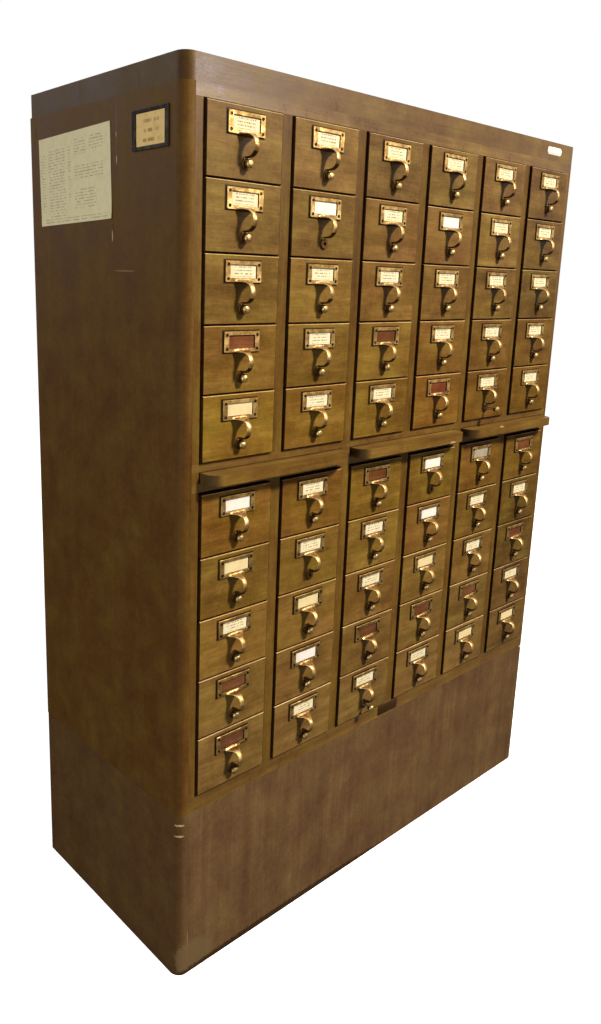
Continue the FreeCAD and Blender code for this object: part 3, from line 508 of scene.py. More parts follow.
# Pulls: one brass casting each, with a plate that holds the paper label, a finger hook bent out
# of the plate's lower edge and an eyelet for the rod. The lacquer has gone: the hollows are brown,
# and the edges that fingers rub stay bright. Painted shade darkens the plate's outer walls, the
# eyelet and the hook's inner and lower faces, and a painted highlight lies along its upper ridge.
PLATE_FACE, PLATE_CHAMFER, WINDOW_LIP = -0.0073, 0.0005, 0.0003
WINDOW_HALF, WINDOW_RISE, WINDOW_MIDDLE, WINDOW_FLOOR = 0.025, 0.0095, 0.07405, -0.0050
HOOK_Y, HOOK_Z, HOOK_OUTER, STRAP_THICK = -0.0135, 0.0453, 0.01605, 0.0027
MIDLINE = HOOK_OUTER - STRAP_THICK / 2
ROOT_BEND, ROOT_SINK = 0.0042, 0.0012
STRAP_HALF, FLARE_WIDENS, FLARE_LENGTH, FLARE_Y = 0.0043, 0.0125, 0.0165, -0.0235
FLARE_HOLLOW, ACROSS_ROUND, THICK_ROUND = 1.35, 0.7, 0.9
BEND_STEPS, RING_STEPS, STRAP_SIDES = 6, 24, 16
# Along the strap: the outer face of the first 19 bands carries a painted highlight, and past the
# first 23 it lies in painted shade.
LIT_RIDGE_STEPS, UNSHADED_STEPS = 19, 23
EYELET_RADIUS, EYELET_FACE = 0.008, -0.0078
EYELET_BORE, EYELET_EASE = ROD_HOLE + 0.0002, 0.0008
POST_LOW, POST_TOP, POST_EASE = ROD_HEIGHT + 0.0045, 0.03155, 0.0005
# Slots of a pull: the brown one holds tarnish and painted shade, the worn one wear and a painted
# highlight.
GOLDEN, TARNISH_AND_SHADE, BACKING, WORN_AND_LIT = range(4)
# To the metre: the cast skin's grit is 0.2 mm, drawn at 0.8 mm.
GRIT = 1250.0
SMALL_SHIFT = (0.9, 0.3, 0.7)


def drawn_in(outline, across, upright=None):
    """An upright rectangle, as (half width, low, top), drawn in on all sides."""
    half, low, top = outline
    upright = across if upright is None else upright
    return half - across, low + upright, top - upright


def rounded(half_x, low, top, y, radius, steps=4):
    """Points round an upright rectangle with rounded corners."""
    points = []
    for corner, (sx, z) in enumerate(((1, top), (-1, top), (-1, low), (1, low))):
        centre_z = z - radius if z == top else z + radius
        for k in range(steps + 1):
            angle = math.pi / 2 * (corner + k / steps)
            x = sx * (half_x - radius) + radius * math.cos(angle)
            points.append((x, y, centre_z + radius * math.sin(angle)))
    return points


def turned(bm, profile, count=28, around=False, finish=0):
    """A piece turned about the rod's line, from (radius, y) points."""
    angles = [2 * math.pi * k / count for k in range(count)]
    rings = []
    for radius, y in profile:
        rings.append([(radius * math.cos(a), y, ROD_HEIGHT + radius * math.sin(a)) for a in angles])
    return skin(bm, rings, around, finish)


def hook_half(y):
    """Half the strap's width at y: wide on the plate, in a hollow curve down to the finger."""
    part = min(max((y - FLARE_Y) / FLARE_LENGTH, 0.0), 1.0)
    return STRAP_HALF + FLARE_WIDENS * part**FLARE_HOLLOW


bm = bmesh.new()
plate = (PLATE_HALF, PLATE_LOW, PLATE_TOP)
window = (WINDOW_HALF, WINDOW_MIDDLE - WINDOW_RISE, WINDOW_MIDDLE + WINDOW_RISE)
plate_rings = [
    rounded(*plate, FRONT_FACE, 0.0012),
    rounded(*plate, PLATE_FACE + PLATE_CHAMFER, 0.0012),
    rounded(*drawn_in(plate, PLATE_CHAMFER), PLATE_FACE, 0.001),
    rounded(*drawn_in(window, -WINDOW_LIP), PLATE_FACE, 0.0007),
    rounded(*window, PLATE_FACE + WINDOW_LIP, 0.0005),
    rounded(*window, WINDOW_FLOOR, 0.0005),
]
faces = skin(bm, plate_rings)
around = len(plate_rings[0])
# The plate's outer walls and its window's inner walls: brown tarnish and painted shade.
for band, finish in enumerate((TARNISH_AND_SHADE, GOLDEN, GOLDEN, GOLDEN, TARNISH_AND_SHADE)):
    for face in faces[band * around : (band + 1) * around]:
        face.material_index = finish
faces[-1].material_index = BACKING

# The strap leaves the plate's face with a hollow bend, runs round the half ring and back to the
# front. path holds each ring's y and z and the way it faces.
path = []
for k in range(BEND_STEPS + 1):
    bend = math.pi / 2 * k / BEND_STEPS
    path.append((PLATE_FACE + ROOT_SINK - ROOT_BEND * (1 - math.cos(bend)),
                 HOOK_Z + MIDLINE + ROOT_BEND * (1 - math.sin(bend)), math.pi / 2 - bend))
for k in range(RING_STEPS + 1):
    turn = math.pi * k / RING_STEPS
    path.append((HOOK_Y - MIDLINE * math.sin(turn), HOOK_Z + MIDLINE * math.cos(turn), turn))
path.append((FRONT_FACE, HOOK_Z - MIDLINE, math.pi))
rings = []
for y, z, turn in path:
    half = hook_half(y) if z > HOOK_Z else STRAP_HALF
    ring = []
    for k in range(STRAP_SIDES):
        angle = 2 * math.pi * k / STRAP_SIDES
        cos, sin = math.cos(angle), math.sin(angle)
        across = half * math.copysign(abs(cos) ** ACROSS_ROUND, cos)
        thick = STRAP_THICK / 2 * math.copysign(abs(sin) ** THICK_ROUND, sin)
        ring.append((across, y - thick * math.sin(turn), z + thick * math.cos(turn)))
    rings.append(ring)
faces = skin(bm, rings)
# The strap's inner faces and lower return lie in painted shade. Its upper outer faces carry wear
# and a painted highlight.
for index, face in enumerate(faces[:-2]):
    along, side = divmod(index, STRAP_SIDES)
    outside = side < STRAP_SIDES // 2
    if outside and side > 2 and along < LIT_RIDGE_STEPS:
        face.material_index = WORN_AND_LIT
    else:
        face.material_index = GOLDEN if outside and along < UNSHADED_STEPS else TARNISH_AND_SHADE
# The eyelet: brown tarnish and painted shade.
turned(bm, [
    (EYELET_RADIUS, FRONT_FACE),
    (EYELET_RADIUS, EYELET_FACE + EYELET_EASE),
    (EYELET_RADIUS - EYELET_EASE, EYELET_FACE),
    (EYELET_BORE, EYELET_FACE),
    (EYELET_BORE, FRONT_FACE),
], around=True, finish=TARNISH_AND_SHADE)
board(bm, (-STRAP_HALF, EYELET_FACE, POST_LOW), (STRAP_HALF, FRONT_FACE, POST_TOP), POST_EASE)


def metal(name, dull, base, bright, roughness, patch_size=0.006, bare_metal=1.0, follow=1.0,
          shine=0.5, rubbing=0.8):
    """Old metal: brown where it has tarnished, bright along rubbed edges, with a fine cast skin.

    patch_size is how wide its blotches are, follow says how far "tone" on the object lightens it,
    and rubbing how bright its edges are."""
    finish, shader, add = new_finish(name)
    spot = pattern_place(add, SMALL_SHIFT)[2]
    settings = {"Scale": 1 / patch_size, "Detail": 5.0, "Roughness": 0.65}
    tarnish = add("TexNoise", settings, {"Vector": spot})
    grit = add("TexNoise", {"Scale": GRIT, "Detail": 2.0}, {"Vector": spot})
    aged = add("ValToRGB", {"stops": [(0.38, dull), (0.5, base), (0.66, bright)]}, {"Fac": tarnish})
    bend = add("NewGeometry").outputs["Pointiness"]
    edge = add("MapRange", {"From Min": 0.51, "From Max": 0.57, "To Max": rubbing}, {"Value": bend})
    rubbed = add("Mix", {"data_type": "RGBA", 7: linear(bright)}, {0: edge, 6: aged})
    tone = add("Attribute", {"attribute_type": "OBJECT", "attribute_name": "tone"})
    shift = {"operation": "MULTIPLY_ADD", 1: follow, 2: 1.0}
    level = add("Math", shift, {0: tone.outputs["Fac"]})
    toned = add("HueSaturation", {}, {"Color": rubbed.outputs[2], "Value": level})
    worn = add("MapRange", {"From Min": 0.35, "From Max": 0.7, "To Min": roughness + 0.12,
                            "To Max": roughness - 0.08}, {"Value": tarnish})
    bump = add("Bump", {"Strength": 0.25, "Distance": 0.00015}, {"Height": grit})
    set_up(shader, {"Metallic": bare_metal, "Specular IOR Level": shine},
           {"Base Color": toned, "Roughness": worn, "Normal": bump})
    return finish


# Cast brass, golden tarnish: satin old gold in broad blotches, hardly brighter at its edges.
coppery = metal("cast brass, golden tarnish", "#5f4322", "#8a6b3c", "#c8a668", 0.5,
                patch_size=0.016, rubbing=0.15)
# Cast brass where no hand reaches: near black, with brown edges. It also stands as painted shade
# on the plate's outer walls, the eyelet, the hook's inner faces and the button's neck.
tarnish_and_shade = metal("cast brass, brown tarnish and painted shade", "#1a0f06", "#33200f", "#5a3f22", 0.5)
# Stained board behind the window of an empty plate: dull red brown.
backing = oak("stained board behind the window", "#54341f", "#6c432b", "#85593a", "X",
              roughness=0.7)
# Cast brass that fingers rub, on the hook's upper ridge: pale gold and smoother, with a painted
# highlight and the sharpest glints of the pull.
worn_and_lit_brass = metal("cast brass, rubbed by fingers, painted highlight", "#75532c", "#9f7844", "#dcbf88", 0.42,
                   follow=0.3, rubbing=0.35)
pull = finished(bm, "drawer_pull", [coppery, tarnish_and_shade, backing, worn_and_lit_brass], crisp=30)

# Card rods: a steel wire through the drawer, screwed into a turned brass button on a thin neck,
# which closes the eyelet. Its crown is scratched pale by fingers.
ROD_RADIUS = 0.0025
WIRE_SIDES, KNOB_SIDES, NECK_BANDS = 14, 28, 5
WIRE, NECK = 1, 2
# The button from the eyelet out to its crown, as (radius, y).
button = [
    (0.0046, EYELET_FACE), (0.0046, -0.0088), (0.0036, -0.0096), (0.0034, -0.0110),
    (0.0040, -0.0119), (0.0056, -0.0125), (0.0063, -0.0131), (0.0064, -0.0139),
    (0.0062, -0.0150), (0.0055, -0.0161), (0.0043, -0.0170), (0.0028, -0.0175),
    (0.0013, -0.0178), (0.0003, -0.0178),
]
# Turned brass, scratched pale: a satin crown with small bright blotches.
knob_brass = metal("turned brass, scratched pale", "#553f1e", "#937744", "#cdb380", 0.42,
                   patch_size=0.003, follow=0.5, rubbing=0.3)
# Drawn steel wire: plain grey, with a tight glare along it.
steel_wire = metal("drawn steel wire", "#5c574e", "#8a857a", "#b5b0a5", 0.3, patch_size=0.02)
bm = bmesh.new()
faces = turned(bm, button, KNOB_SIDES)
# The button's neck: brown tarnish and painted shade.
for face in faces[: NECK_BANDS * KNOB_SIDES]:
    face.material_index = NECK
turned(bm, [(ROD_RADIUS, BOX_END), (ROD_RADIUS, EYELET_FACE)], WIRE_SIDES, finish=WIRE)
rod = finished(bm, "card_rod", [knob_brass, steel_wire, tarnish_and_shade], crisp=40)

# Pull screws: four slotted round-head screws of iron in the plate's corners, each turned its own
# way. A head is two half discs with the slot between them, on a flat disc.
SCREW_X, SCREW_Z, SCREW_RADIUS, SCREW_FACE = 0.029, 0.010, 0.0023, -0.0083
SLOT_HALF, SLOT_FLOOR = 0.00035, 0.0003
HEAD_EASE, DISC_PART, ARC_STEPS = 0.0004, 0.98, 10
SCREW_PROFILE = ((PLATE_FACE, 1.0), (SCREW_FACE + HEAD_EASE, 1.0), (SCREW_FACE, 0.8))
# Blackened iron: near black, with a faint brown edge.
iron = metal("blackened iron", "#170f08", "#2a1d12", "#54402a", 0.5, patch_size=0.003, rubbing=0.1)
bm = bmesh.new()
rnd = random.Random(11)
for sx in (-1, 1):
    for sz in (-1, 1):
        spin = Matrix.Rotation(rnd.uniform(0, math.pi), 4, "Y")
        seat = Vector((sx * SCREW_X, 0.0, WINDOW_MIDDLE + sz * SCREW_Z))
        start = math.asin(SLOT_HALF / SCREW_RADIUS)
        for half_turn in (0.0, math.pi):
            arc = [start + (math.pi - 2 * start) * k / ARC_STEPS + half_turn
                   for k in range(ARC_STEPS + 1)]
            away = math.sin(arc[ARC_STEPS // 2])
            rings = []
            for y, part in SCREW_PROFILE:
                ring = []
                for a in arc:
                    x, z = SCREW_RADIUS * part * math.cos(a), SCREW_RADIUS * part * math.sin(a)
                    z = math.copysign(max(abs(z), SLOT_HALF), away)
                    ring.append(seat + spin @ Vector((x, y, z)))
                rings.append(ring)
            skin(bm, rings)
        radius = SCREW_RADIUS * DISC_PART
        turns = [math.pi * k / ARC_STEPS for k in range(2 * ARC_STEPS)]
        skin(bm, [[seat + Vector((radius * math.cos(a), y, radius * math.sin(a))) for a in turns]
                  for y in (PLATE_FACE, PLATE_FACE - SLOT_FLOOR)])
screws = finished(bm, "pull_screws", [iron])

# Labels: cards of cream or white paper slid into the plates. Some carry faint bars, some are blank,
# one is grey, and some plates are empty.
LABEL_HALF, LABEL_RISE = 0.02475, 0.00925
LABEL_FACE, LABEL_THICK, LABEL_EASE = -0.0054, 0.0004, 0.0001
# To the metre: 14 mm patches of foxing. Paper fibre is 0.03 mm wide, drawn at 1 mm.
FOXING, FIBRE = 70.0, 900.0
BAR_HALF, ROW_JUMP, BAR_SHIFT = 0.18, 5.3, (31.0, 17.0, 23.0)


def paper(name, colour, stain, ink="", pitch=0.0046, dash=0.0022, blocks=(), strength=0.55):
    """Old card or paper: fibre with foxed patches, and with ink also rows of faint broken bars.

    The rows are pitch apart, a bar is about as long as dash, and they lie in blocks of
    (x, z, half width, half height)."""
    finish, shader, add = new_finish(name)
    place, board, spot = pattern_place(add, SMALL_SHIFT)
    foxing = add("TexNoise", {"Scale": FOXING, "Detail": 4.0, "Roughness": 0.6}, {"Vector": spot})
    patch = add("MapRange", {"From Min": 0.45, "From Max": 0.75, "To Max": 0.7}, {"Value": foxing})
    card = add("Mix", {"data_type": "RGBA", 6: linear(colour), 7: linear(stain)}, {0: patch})
    hue = card.outputs[2]
    if ink:
        axes = add("SeparateXYZ", {}, {0: place})
        count = add("Math", {"operation": "MULTIPLY", 1: 1 / pitch}, {0: axes.outputs["Z"]})
        step = add("Math", {"operation": "FRACT"}, {0: count})
        line = add("Math", {"operation": "COMPARE", 1: 0.5, 2: BAR_HALF}, {0: step})
        row = add("Math", {"operation": "FLOOR"}, {0: count})
        along = add("CombineXYZ", {}, {0: axes.outputs["X"], 2: row})
        fitted = add("Mapping", {"Scale": (1 / dash, 1.0, ROW_JUMP)}, {"Vector": along})
        shift = {"operation": "MULTIPLY_ADD", 1: BAR_SHIFT}
        shifted = add("VectorMath", shift, {0: board, 2: fitted})
        dashes = add("TexNoise", {"Scale": 1.0, "Detail": 2.0}, {"Vector": shifted})
        inked = add("MapRange", {"From Min": 0.44, "From Max": 0.54, "To Max": strength},
                    {"Value": dashes})
        inside = None
        for x, z, half_x, half_z in blocks:
            wide = add("Math", {"operation": "COMPARE", 1: x, 2: half_x}, {0: axes.outputs["X"]})
            high = add("Math", {"operation": "COMPARE", 1: z, 2: half_z}, {0: axes.outputs["Z"]})
            both = add("Math", {"operation": "MULTIPLY"}, {0: wide, 1: high})
            joined = {0: inside, 1: both}
            inside = add("Math", {"operation": "MAXIMUM"}, joined) if inside else both
        kept = add("Math", {"operation": "MULTIPLY"}, {0: line, 1: inside})
        drawn = add("Math", {"operation": "MULTIPLY"}, {0: kept, 1: inked})
        barred = add("Mix", {"data_type": "RGBA", 7: linear(ink)}, {0: drawn, 6: hue})
        hue = barred.outputs[2]
    fibre = add("TexNoise", {"Scale": FIBRE, "Detail": 2.0}, {"Vector": spot})
    bump = add("Bump", {"Strength": 0.15, "Distance": 0.0001}, {"Height": fibre})
    set_up(shader, {"Roughness": 0.85, "Specular IOR Level": 0.1},
           {"Base Color": hue, "Normal": bump})
    return finish


# Card stock, matt and a little foxed: T is cream with faint bars, W is near white, B is a deeper
# cream that the light has browned, and G is grey.
papers = {
    "T": paper("cream card, faint bars", "#ece3c2", "#e2d3a2", ink="#4f4028", strength=0.75,
               blocks=[(0.0, WINDOW_MIDDLE, 0.017, 0.0072)]),
    "W": paper("white card", "#efede8", "#e4dfd2"),
    "B": paper("cream card", "#e6d6a6", "#d8c48e"),
    "G": paper("grey card", "#a79f8c", "#8f8570"),
}
label = (LABEL_HALF, WINDOW_MIDDLE - LABEL_RISE, WINDOW_MIDDLE + LABEL_RISE)
card = bmesh.new()
skin(card, [
    rounded(*label, LABEL_FACE + LABEL_THICK, 0.0006, 2),
    rounded(*label, LABEL_FACE + LABEL_EASE, 0.0006, 2),
    rounded(*drawn_in(label, LABEL_EASE), LABEL_FACE, 0.0006, 2),
])
labels = {}
for kind, finish in papers.items():
    labels[kind] = finished(card.copy(), f"label_{kind}", [finish])
card.free()

# The sixty drawers, row by row. Those of the lower block slide in threes. The oak was never of one
# colour, and each board differs by chance. Painted shade darkens the fronts to the right, the last
# column most. The middle rows are deepest in colour, lower pulls browner. E is an empty plate.
LABEL_KINDS = ["TTTTTT", "TWTWTT", "TTTTTT", "ETETTT", "BTTETT",
               "WTEWGE", "BTTWTT", "TBTBTE", "EWEEET", "ETTTBB"]
ROD_OUT = {(5, 5): 0.0192, (10, 3): 0.012}
NO_ROD = [(2, 2), (6, 4), (7, 2)]
SPREAD, COLDEST, WARMEST = 0.12, -0.9, 0.5
TONE, SHADE_ACROSS, TONE_DOWN, LAST_COLUMN_SHADE = 0.02, 0.03, 0.004, 0.22
RICHEST, RICH_DOWN, MIDDLE_ROW = 0.07, 0.022, 5.5
METAL_TONE, METAL_DOWN = 0.14, 0.03
rnd = random.Random(5)
for row in range(1, 2 * BLOCK_ROWS + 1):
    for column in range(1, COLUMNS + 1):
        tag = f"r{row}_c{column}"
        trio = "c1_to_c3" if column <= 3 else "c4_to_c6"
        body = f"drawer_{tag}" if row <= BLOCK_ROWS else f"drawers_r{row}_{trio}"
        # Painted shade: the fronts darken to the right, and the last column more.
        tone = rnd.uniform(-SPREAD, SPREAD) + TONE - SHADE_ACROSS * column + TONE_DOWN * row
        tone -= LAST_COLUMN_SHADE if column == COLUMNS else 0.0
        warm = rnd.uniform(COLDEST, WARMEST)
        rich = RICHEST - RICH_DOWN * abs(row - MIDDLE_ROW)
        metal_tone = rnd.uniform(-SPREAD, SPREAD) + METAL_TONE - METAL_DOWN * row
        at = drawer_place(row, column)
        apart = (row, column) == (5, 5)
        follower_body = "drawer_r5_c5_follower" if apart else body
        pieces = [
            ("front", front, body, "oak_front", at, "front"),
            ("box", box, body, "box_wood", at, "box"),
            ("follower", follower, follower_body, "box_wood", at, "follower_block"),
            ("pull", pull, body, "brass", at, "pull"),
            ("screws", screws, body, "black_metal", at, "pull_screws"),
        ]
        if (row, column) not in NO_ROD:
            rod_body = "drawer_r5_c5_rod" if apart else body
            rod_at = at + Vector((0.0, -ROD_OUT.get((row, column), 0.0), 0.0))
            pieces.append(("rod", rod, rod_body, "brass", rod_at, "card_rod"))
        kind = LABEL_KINDS[row - 1][column - 1]
        if kind in labels:
            pieces.append(("label", labels[kind], body, "paper", at, "label_card"))
        for name, mesh, rides_on, slot, place, node in pieces:
            stands_for = f"drawer_r5_c5_{node}" if apart else body
            piece = fit(f"{name}_{tag}", mesh, rides_on, place, [stands_for])
            piece["board"] = float(10 * row + column)
            piece["tone"] = tone if name == "front" else metal_tone
            piece["warm"] = warm
            piece["rich"] = rich

# Label holder on the left side: a sheet-iron frame, japanned black, with a yellowed card in it.
# The iron is rolled up round its edge and again round its opening.
CASE_LEFT = -0.5153
HOLDER_AT, HOLDER_HALF, HOLDER_LOW, HOLDER_TOP = -0.117, 0.044, 1.306, 1.360
HOLDER_RIM, HOLDER_BAND = 0.010, 0.00525
HOLDER_FACE, CARD_FACE, CARD_BACK, CARD_GAP = -0.0024, -0.0008, -0.0001, 0.0002
ON_LEFT_SIDE = (0.0, 0.0, -math.pi / 2)
# Japanned iron: brown-black lacquer with a weak glare and worn, browner edges.
japanned = metal("japanned iron", "#140e08", "#21180f", "#3a2e20", 0.5, patch_size=0.01,
                 bare_metal=0.0, shine=0.05)
holder = (HOLDER_HALF, HOLDER_LOW, HOLDER_TOP)
opening = (HOLDER_HALF - HOLDER_RIM, HOLDER_LOW + HOLDER_BAND, HOLDER_TOP - HOLDER_BAND)
# Each ring: its outline, how far it is drawn in across and upright, its y, its corners' radius.
holder_rings = [
    (opening, 0.0, 0.0, 0.0, 0.001),
    (holder, 0.0, 0.0, 0.0, 0.002),
    (holder, 0.0, 0.0, HOLDER_FACE + 0.0006, 0.002),
    (holder, 0.0006, 0.0006, HOLDER_FACE, 0.0016),
    (holder, 0.002, 0.0018, HOLDER_FACE, 0.0016),
    (holder, 0.0026, 0.0022, HOLDER_FACE + 0.0006, 0.0016),
    (opening, -0.0006, -0.0005, HOLDER_FACE + 0.0006, 0.001),
    (opening, 0.0, 0.0, HOLDER_FACE + 0.0009, 0.001),
]
bm = bmesh.new()
skin(bm, [rounded(*drawn_in(outline, across, upright), y, radius)
          for outline, across, upright, y, radius in holder_rings], around=True)
fit("side_label_frame", finished(bm, "side_label_frame", [japanned]), "cabinet",
    (CASE_LEFT, HOLDER_AT, 0.0), ["side_label_holder"], ON_LEFT_SIDE)
# Card yellowed by light and varnish fumes: matt ochre with faint brown bars.
yellowed = paper("yellowed card, faint bars", "#e8c684", "#d0a85e", ink="#5c4320", pitch=0.0125,
                 dash=0.004, blocks=[(0.002, 1.333, 0.02, 0.019)])
bm = bmesh.new()
skin(bm, [rounded(*drawn_in(opening, CARD_GAP), y, 0.0009) for y in (CARD_BACK, CARD_FACE)])
fit("side_label_card", finished(bm, "side_label_card", [yellowed]), "cabinet",
    (CASE_LEFT, HOLDER_AT, 0.0), ["side_label_holder"], ON_LEFT_SIDE)

# Index sheet: typing paper tacked to the left side, browned, slightly askew, its lower corner
# curled. Faint broken bars lie on it in eight blocks.
SHEET_AT, SHEET_MIDDLE, SHEET_HALF, SHEET_RISE = 0.0915, 1.2835, 0.108, 0.0685
SHEET_THICK, SHEET_GAP, SHEET_TILT = 0.0002, 0.0003, math.radians(-1.5)
CURL_FROM, CURL = 1.5, 0.0048
RIPPLE, RIPPLES_ALONG, RIPPLES_SLANT, RIPPLES_UP = 0.00025, 31, 12, 47
STEPS_X, STEPS_Z = 36, 24
POINTS_Z = STEPS_Z + 1
blocks = [
    (-0.096, -0.002, 0.007, 0.045), (-0.052, -0.005, 0.026, 0.053), (0.022, 0.045, 0.018, 0.012),
    (0.068, 0.046, 0.020, 0.011), (0.045, 0.006, 0.042, 0.010), (0.035, -0.032, 0.032, 0.016),
    (0.0, -0.062, 0.098, 0.003), (-0.012, 0.008, 0.004, 0.042),
]
# Old typing paper: matt greenish cream with faint grey-brown bars.
sheet_paper = paper("typing paper, faint bars", "#e2d6ab", "#d3c695", ink="#4d432f", pitch=0.0044,
                    dash=0.005, blocks=blocks, strength=0.45)
bm = bmesh.new()
grids = []
for back in (0.0, SHEET_THICK):
    grid = []
    for i in range(STEPS_X + 1):
        for k in range(POINTS_Z):
            x, z = SHEET_HALF * (2 * i / STEPS_X - 1), SHEET_RISE * (2 * k / STEPS_Z - 1)
            curl = max(0.0, x / SHEET_HALF - z / SHEET_RISE - CURL_FROM) ** 2 * CURL
            slant = math.sin(RIPPLES_ALONG * x + RIPPLES_SLANT * z)
            ripple = RIPPLE * (1 + slant * math.sin(RIPPLES_UP * z))
            grid.append(bm.verts.new((x, -SHEET_GAP - SHEET_THICK - ripple - curl + back, z)))
    grids.append(grid)
for i in range(STEPS_X):
    for k in range(STEPS_Z):
        a, b = i * POINTS_Z + k, (i + 1) * POINTS_Z + k
        for grid in grids:
            bm.faces.new((grid[a], grid[b], grid[b + 1], grid[a + 1]))
rim = [i * POINTS_Z for i in range(STEPS_X)] + [STEPS_X * POINTS_Z + k for k in range(STEPS_Z)]
rim += [i * POINTS_Z + STEPS_Z for i in range(STEPS_X, 0, -1)] + list(range(STEPS_Z, 0, -1))
for here, there in zip(rim, rim[1:] + rim[:1]):
    bm.faces.new((grids[0][here], grids[0][there], grids[1][there], grids[1][here]))
fit("index_paper", finished(bm, "index_paper", [sheet_paper], crisp=60), "cabinet",
    (CASE_LEFT, SHEET_AT, SHEET_MIDDLE), ["index_sheet"], (0.0, SHEET_TILT, -math.pi / 2))

# Two small plates on the front, both blank: a white enamelled tag on the top's edge, and a dark
# brass plate on the bottom rail under the third column.
TAG_AT, TAG_HALF, TAG_LOW, TAG_TOP, TAG_ROUND = 0.4295, 0.0278, 1.3975, 1.4125, 0.0072
BADGE_AT, BADGE_HALF, BADGE_LOW, BADGE_TOP, BADGE_ROUND = 0.001, 0.029, 0.3045, 0.3250, 0.0015
RIM_FACE, THIN_FACE = -0.0008, -0.0012
# White enamel, matt with age: a clean pale spot with a trace of yellow.
enamel = paper("white enamel, matt with age", "#e6e4de", "#d5d1c8")
tag = (TAG_HALF, TAG_LOW, TAG_TOP)
bm = bmesh.new()
skin(bm, [rounded(*drawn_in(tag, inset), y, TAG_ROUND - inset, 6)
          for y, inset in ((0.0, 0.0), (RIM_FACE, 0.0), (THIN_FACE, 0.0006))])
fit("blank_tag", finished(bm, "blank_tag", [enamel]), "cabinet", (TAG_AT, FRAME_FACE, 0.0))
badge = (BADGE_HALF, BADGE_LOW, BADGE_TOP)
bm = bmesh.new()
skin(bm, [rounded(*drawn_in(badge, inset), y, BADGE_ROUND, 3)
          for y, inset in ((0.0, 0.0), (RIM_FACE, 0.0), (THIN_FACE, 0.0005))])
fit("blank_plate", finished(bm, "blank_plate", [tarnish_and_shade]), "cabinet",
    (BADGE_AT, FRAME_FACE, 0.0))

# Floor and light: a pale floor that keeps the shadow, a warm lamp high on the front right, weak
# large ones that light the left side, two that only show in the varnish, and an even white world.
MIDDLE_GREY, FLOOR_GLOW, AMBIENT, FLOOR_HALF = 0.18, 0.955, 0.05, 40.0
WHITE = linear("#ffffff")
# Matt white paint: white to the camera, middle grey to the light that bounces off it.
floor_paint, shader, add = new_finish("matt white floor")
seen = add("LightPath").outputs["Is Camera Ray"]
white = add("Mix", {"data_type": "RGBA", 6: [MIDDLE_GREY] * 3 + [1.0], 7: WHITE}, {0: seen})
glow = add("Math", {"operation": "MULTIPLY", 1: FLOOR_GLOW}, {0: seen})
set_up(shader, {"Roughness": 0.9, "Specular IOR Level": 0.0, "Emission Color": WHITE},
       {"Base Color": white.outputs[2], "Emission Strength": glow})
bm = bmesh.new()
corners = [(-FLOOR_HALF, -FLOOR_HALF), (FLOOR_HALF, -FLOOR_HALF), (FLOOR_HALF, FLOOR_HALF),
           (-FLOOR_HALF, FLOOR_HALF)]
bm.faces.new([bm.verts.new((x, y, 0.0)) for x, y in corners])
floor = new_object("floor", finished(bm, "floor", [floor_paint]))


def lamp(name, place, target, size, power, colour="#ffffff", only_gloss=False):
    """A soft square lamp that looks at target. With only_gloss it shows in the varnish alone."""
    light = bpy.data.lights.new(name, "AREA")
    light.shape = "SQUARE"
    light.size = size
    light.energy = power
    light.color = linear(colour)[:3]
    stand = new_object(name, light)
    stand.location = place
    stand.rotation_euler = (Vector(target) - Vector(place)).to_track_quat("-Z", "Y").to_euler()
    stand.visible_diffuse = not only_gloss


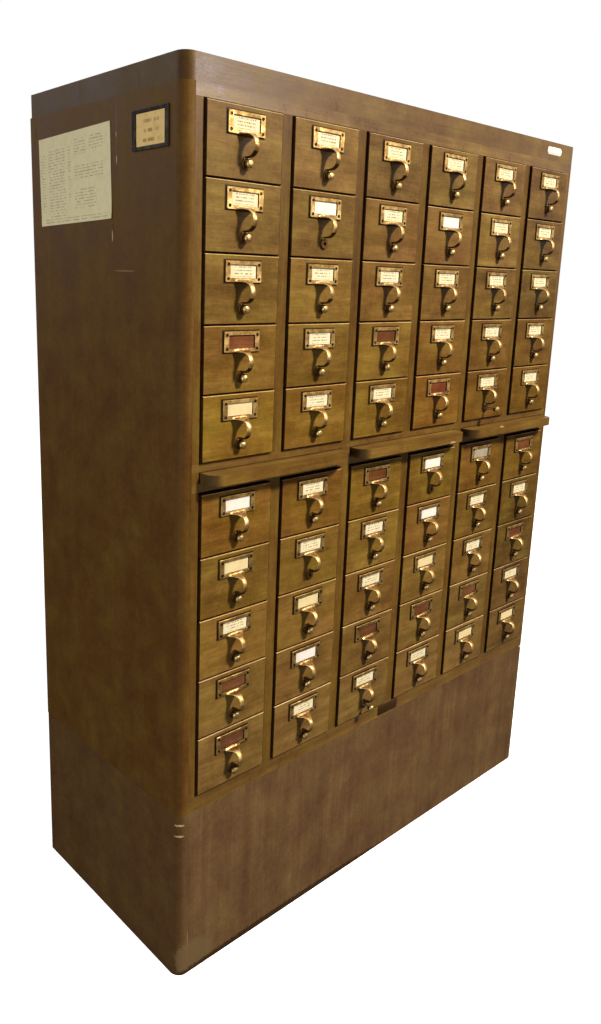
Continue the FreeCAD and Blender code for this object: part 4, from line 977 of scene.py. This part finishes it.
lamp("key", (1.2, -3.5, 4.2), (0.0, -0.2, 0.9), 0.6, 372.0, "#fff4e2")
lamp("window", (1.5, -2.95, 2.35), (-0.4, -0.2, 1.3), 0.6, 52.0, only_gloss=True)
lamp("far wall", (-2.9, 2.4, 2.3), (-0.5, 0.0, 1.0), 1.4, 12.0)
lamp("left wall", (-3.1, -0.9, 0.8), (-0.5, 0.0, 0.6), 1.4, 42.0)
lamp("side gloss", (-2.6, 2.6, 2.6), (-0.5, 0.0, 1.2), 1.0, 38.0, only_gloss=True)
world = bpy.data.worlds.new("even white")
bpy.context.scene.world = world
world.use_nodes = True
add = partial(add_node, world.node_tree)
path = add("LightPath").outputs
behind = add("Math", {"operation": "MAXIMUM"}, {0: path["Is Camera Ray"], 1: path["Is Glossy Ray"]})
shown = add("Math", {"operation": "MAXIMUM"}, {0: behind, 1: path["Is Transmission Ray"]})
strength = add("MapRange", {"To Min": AMBIENT, "To Max": 1.0}, {"Value": shown})
set_up(world.node_tree.nodes["Background"], {"Color": WHITE}, {"Strength": strength})

# Camera: left of the cabinet at chest height, fitted to the photograph's frame of 601 by 1024.
# Its lens looks lower left of the frame's middle, so the sensor is shifted.
IMAGE_WIDTH, IMAGE_HEIGHT = 601, 1024
FOCAL_PIXELS, CENTRE_PIXEL_X, CENTRE_PIXEL_Y = 818.25, 245.88, 462.06
CAMERA_PLACE = (-1.20563, -1.10044, 1.13316)
DIP, ROLL, TURN = 0.21863, 0.026057, 0.730702
SENSOR_WIDTH = 36.0
ahead = Vector((math.sin(TURN) * math.cos(DIP), math.cos(TURN) * math.cos(DIP), -math.sin(DIP)))
level_right = Vector((math.cos(TURN), -math.sin(TURN), 0.0))
level_up = level_right.cross(ahead)
right = math.cos(ROLL) * level_right + math.sin(ROLL) * level_up
up = math.cos(ROLL) * level_up - math.sin(ROLL) * level_right
camera_data = bpy.data.cameras.new("photograph")
camera_data.sensor_fit = "AUTO"
camera_data.sensor_width = SENSOR_WIDTH
camera_data.lens = FOCAL_PIXELS / IMAGE_HEIGHT * SENSOR_WIDTH
camera_data.shift_x = (IMAGE_WIDTH / 2 - CENTRE_PIXEL_X) / IMAGE_HEIGHT
camera_data.shift_y = (CENTRE_PIXEL_Y - IMAGE_HEIGHT / 2) / IMAGE_HEIGHT
camera = new_object("photograph", camera_data)
looking = Matrix((right, up, -ahead)).transposed().to_4x4()
camera.matrix_world = Matrix.Translation(CAMERA_PLACE) @ looking
bpy.context.scene.camera = camera
bpy.context.scene.view_settings.view_transform = "Standard"
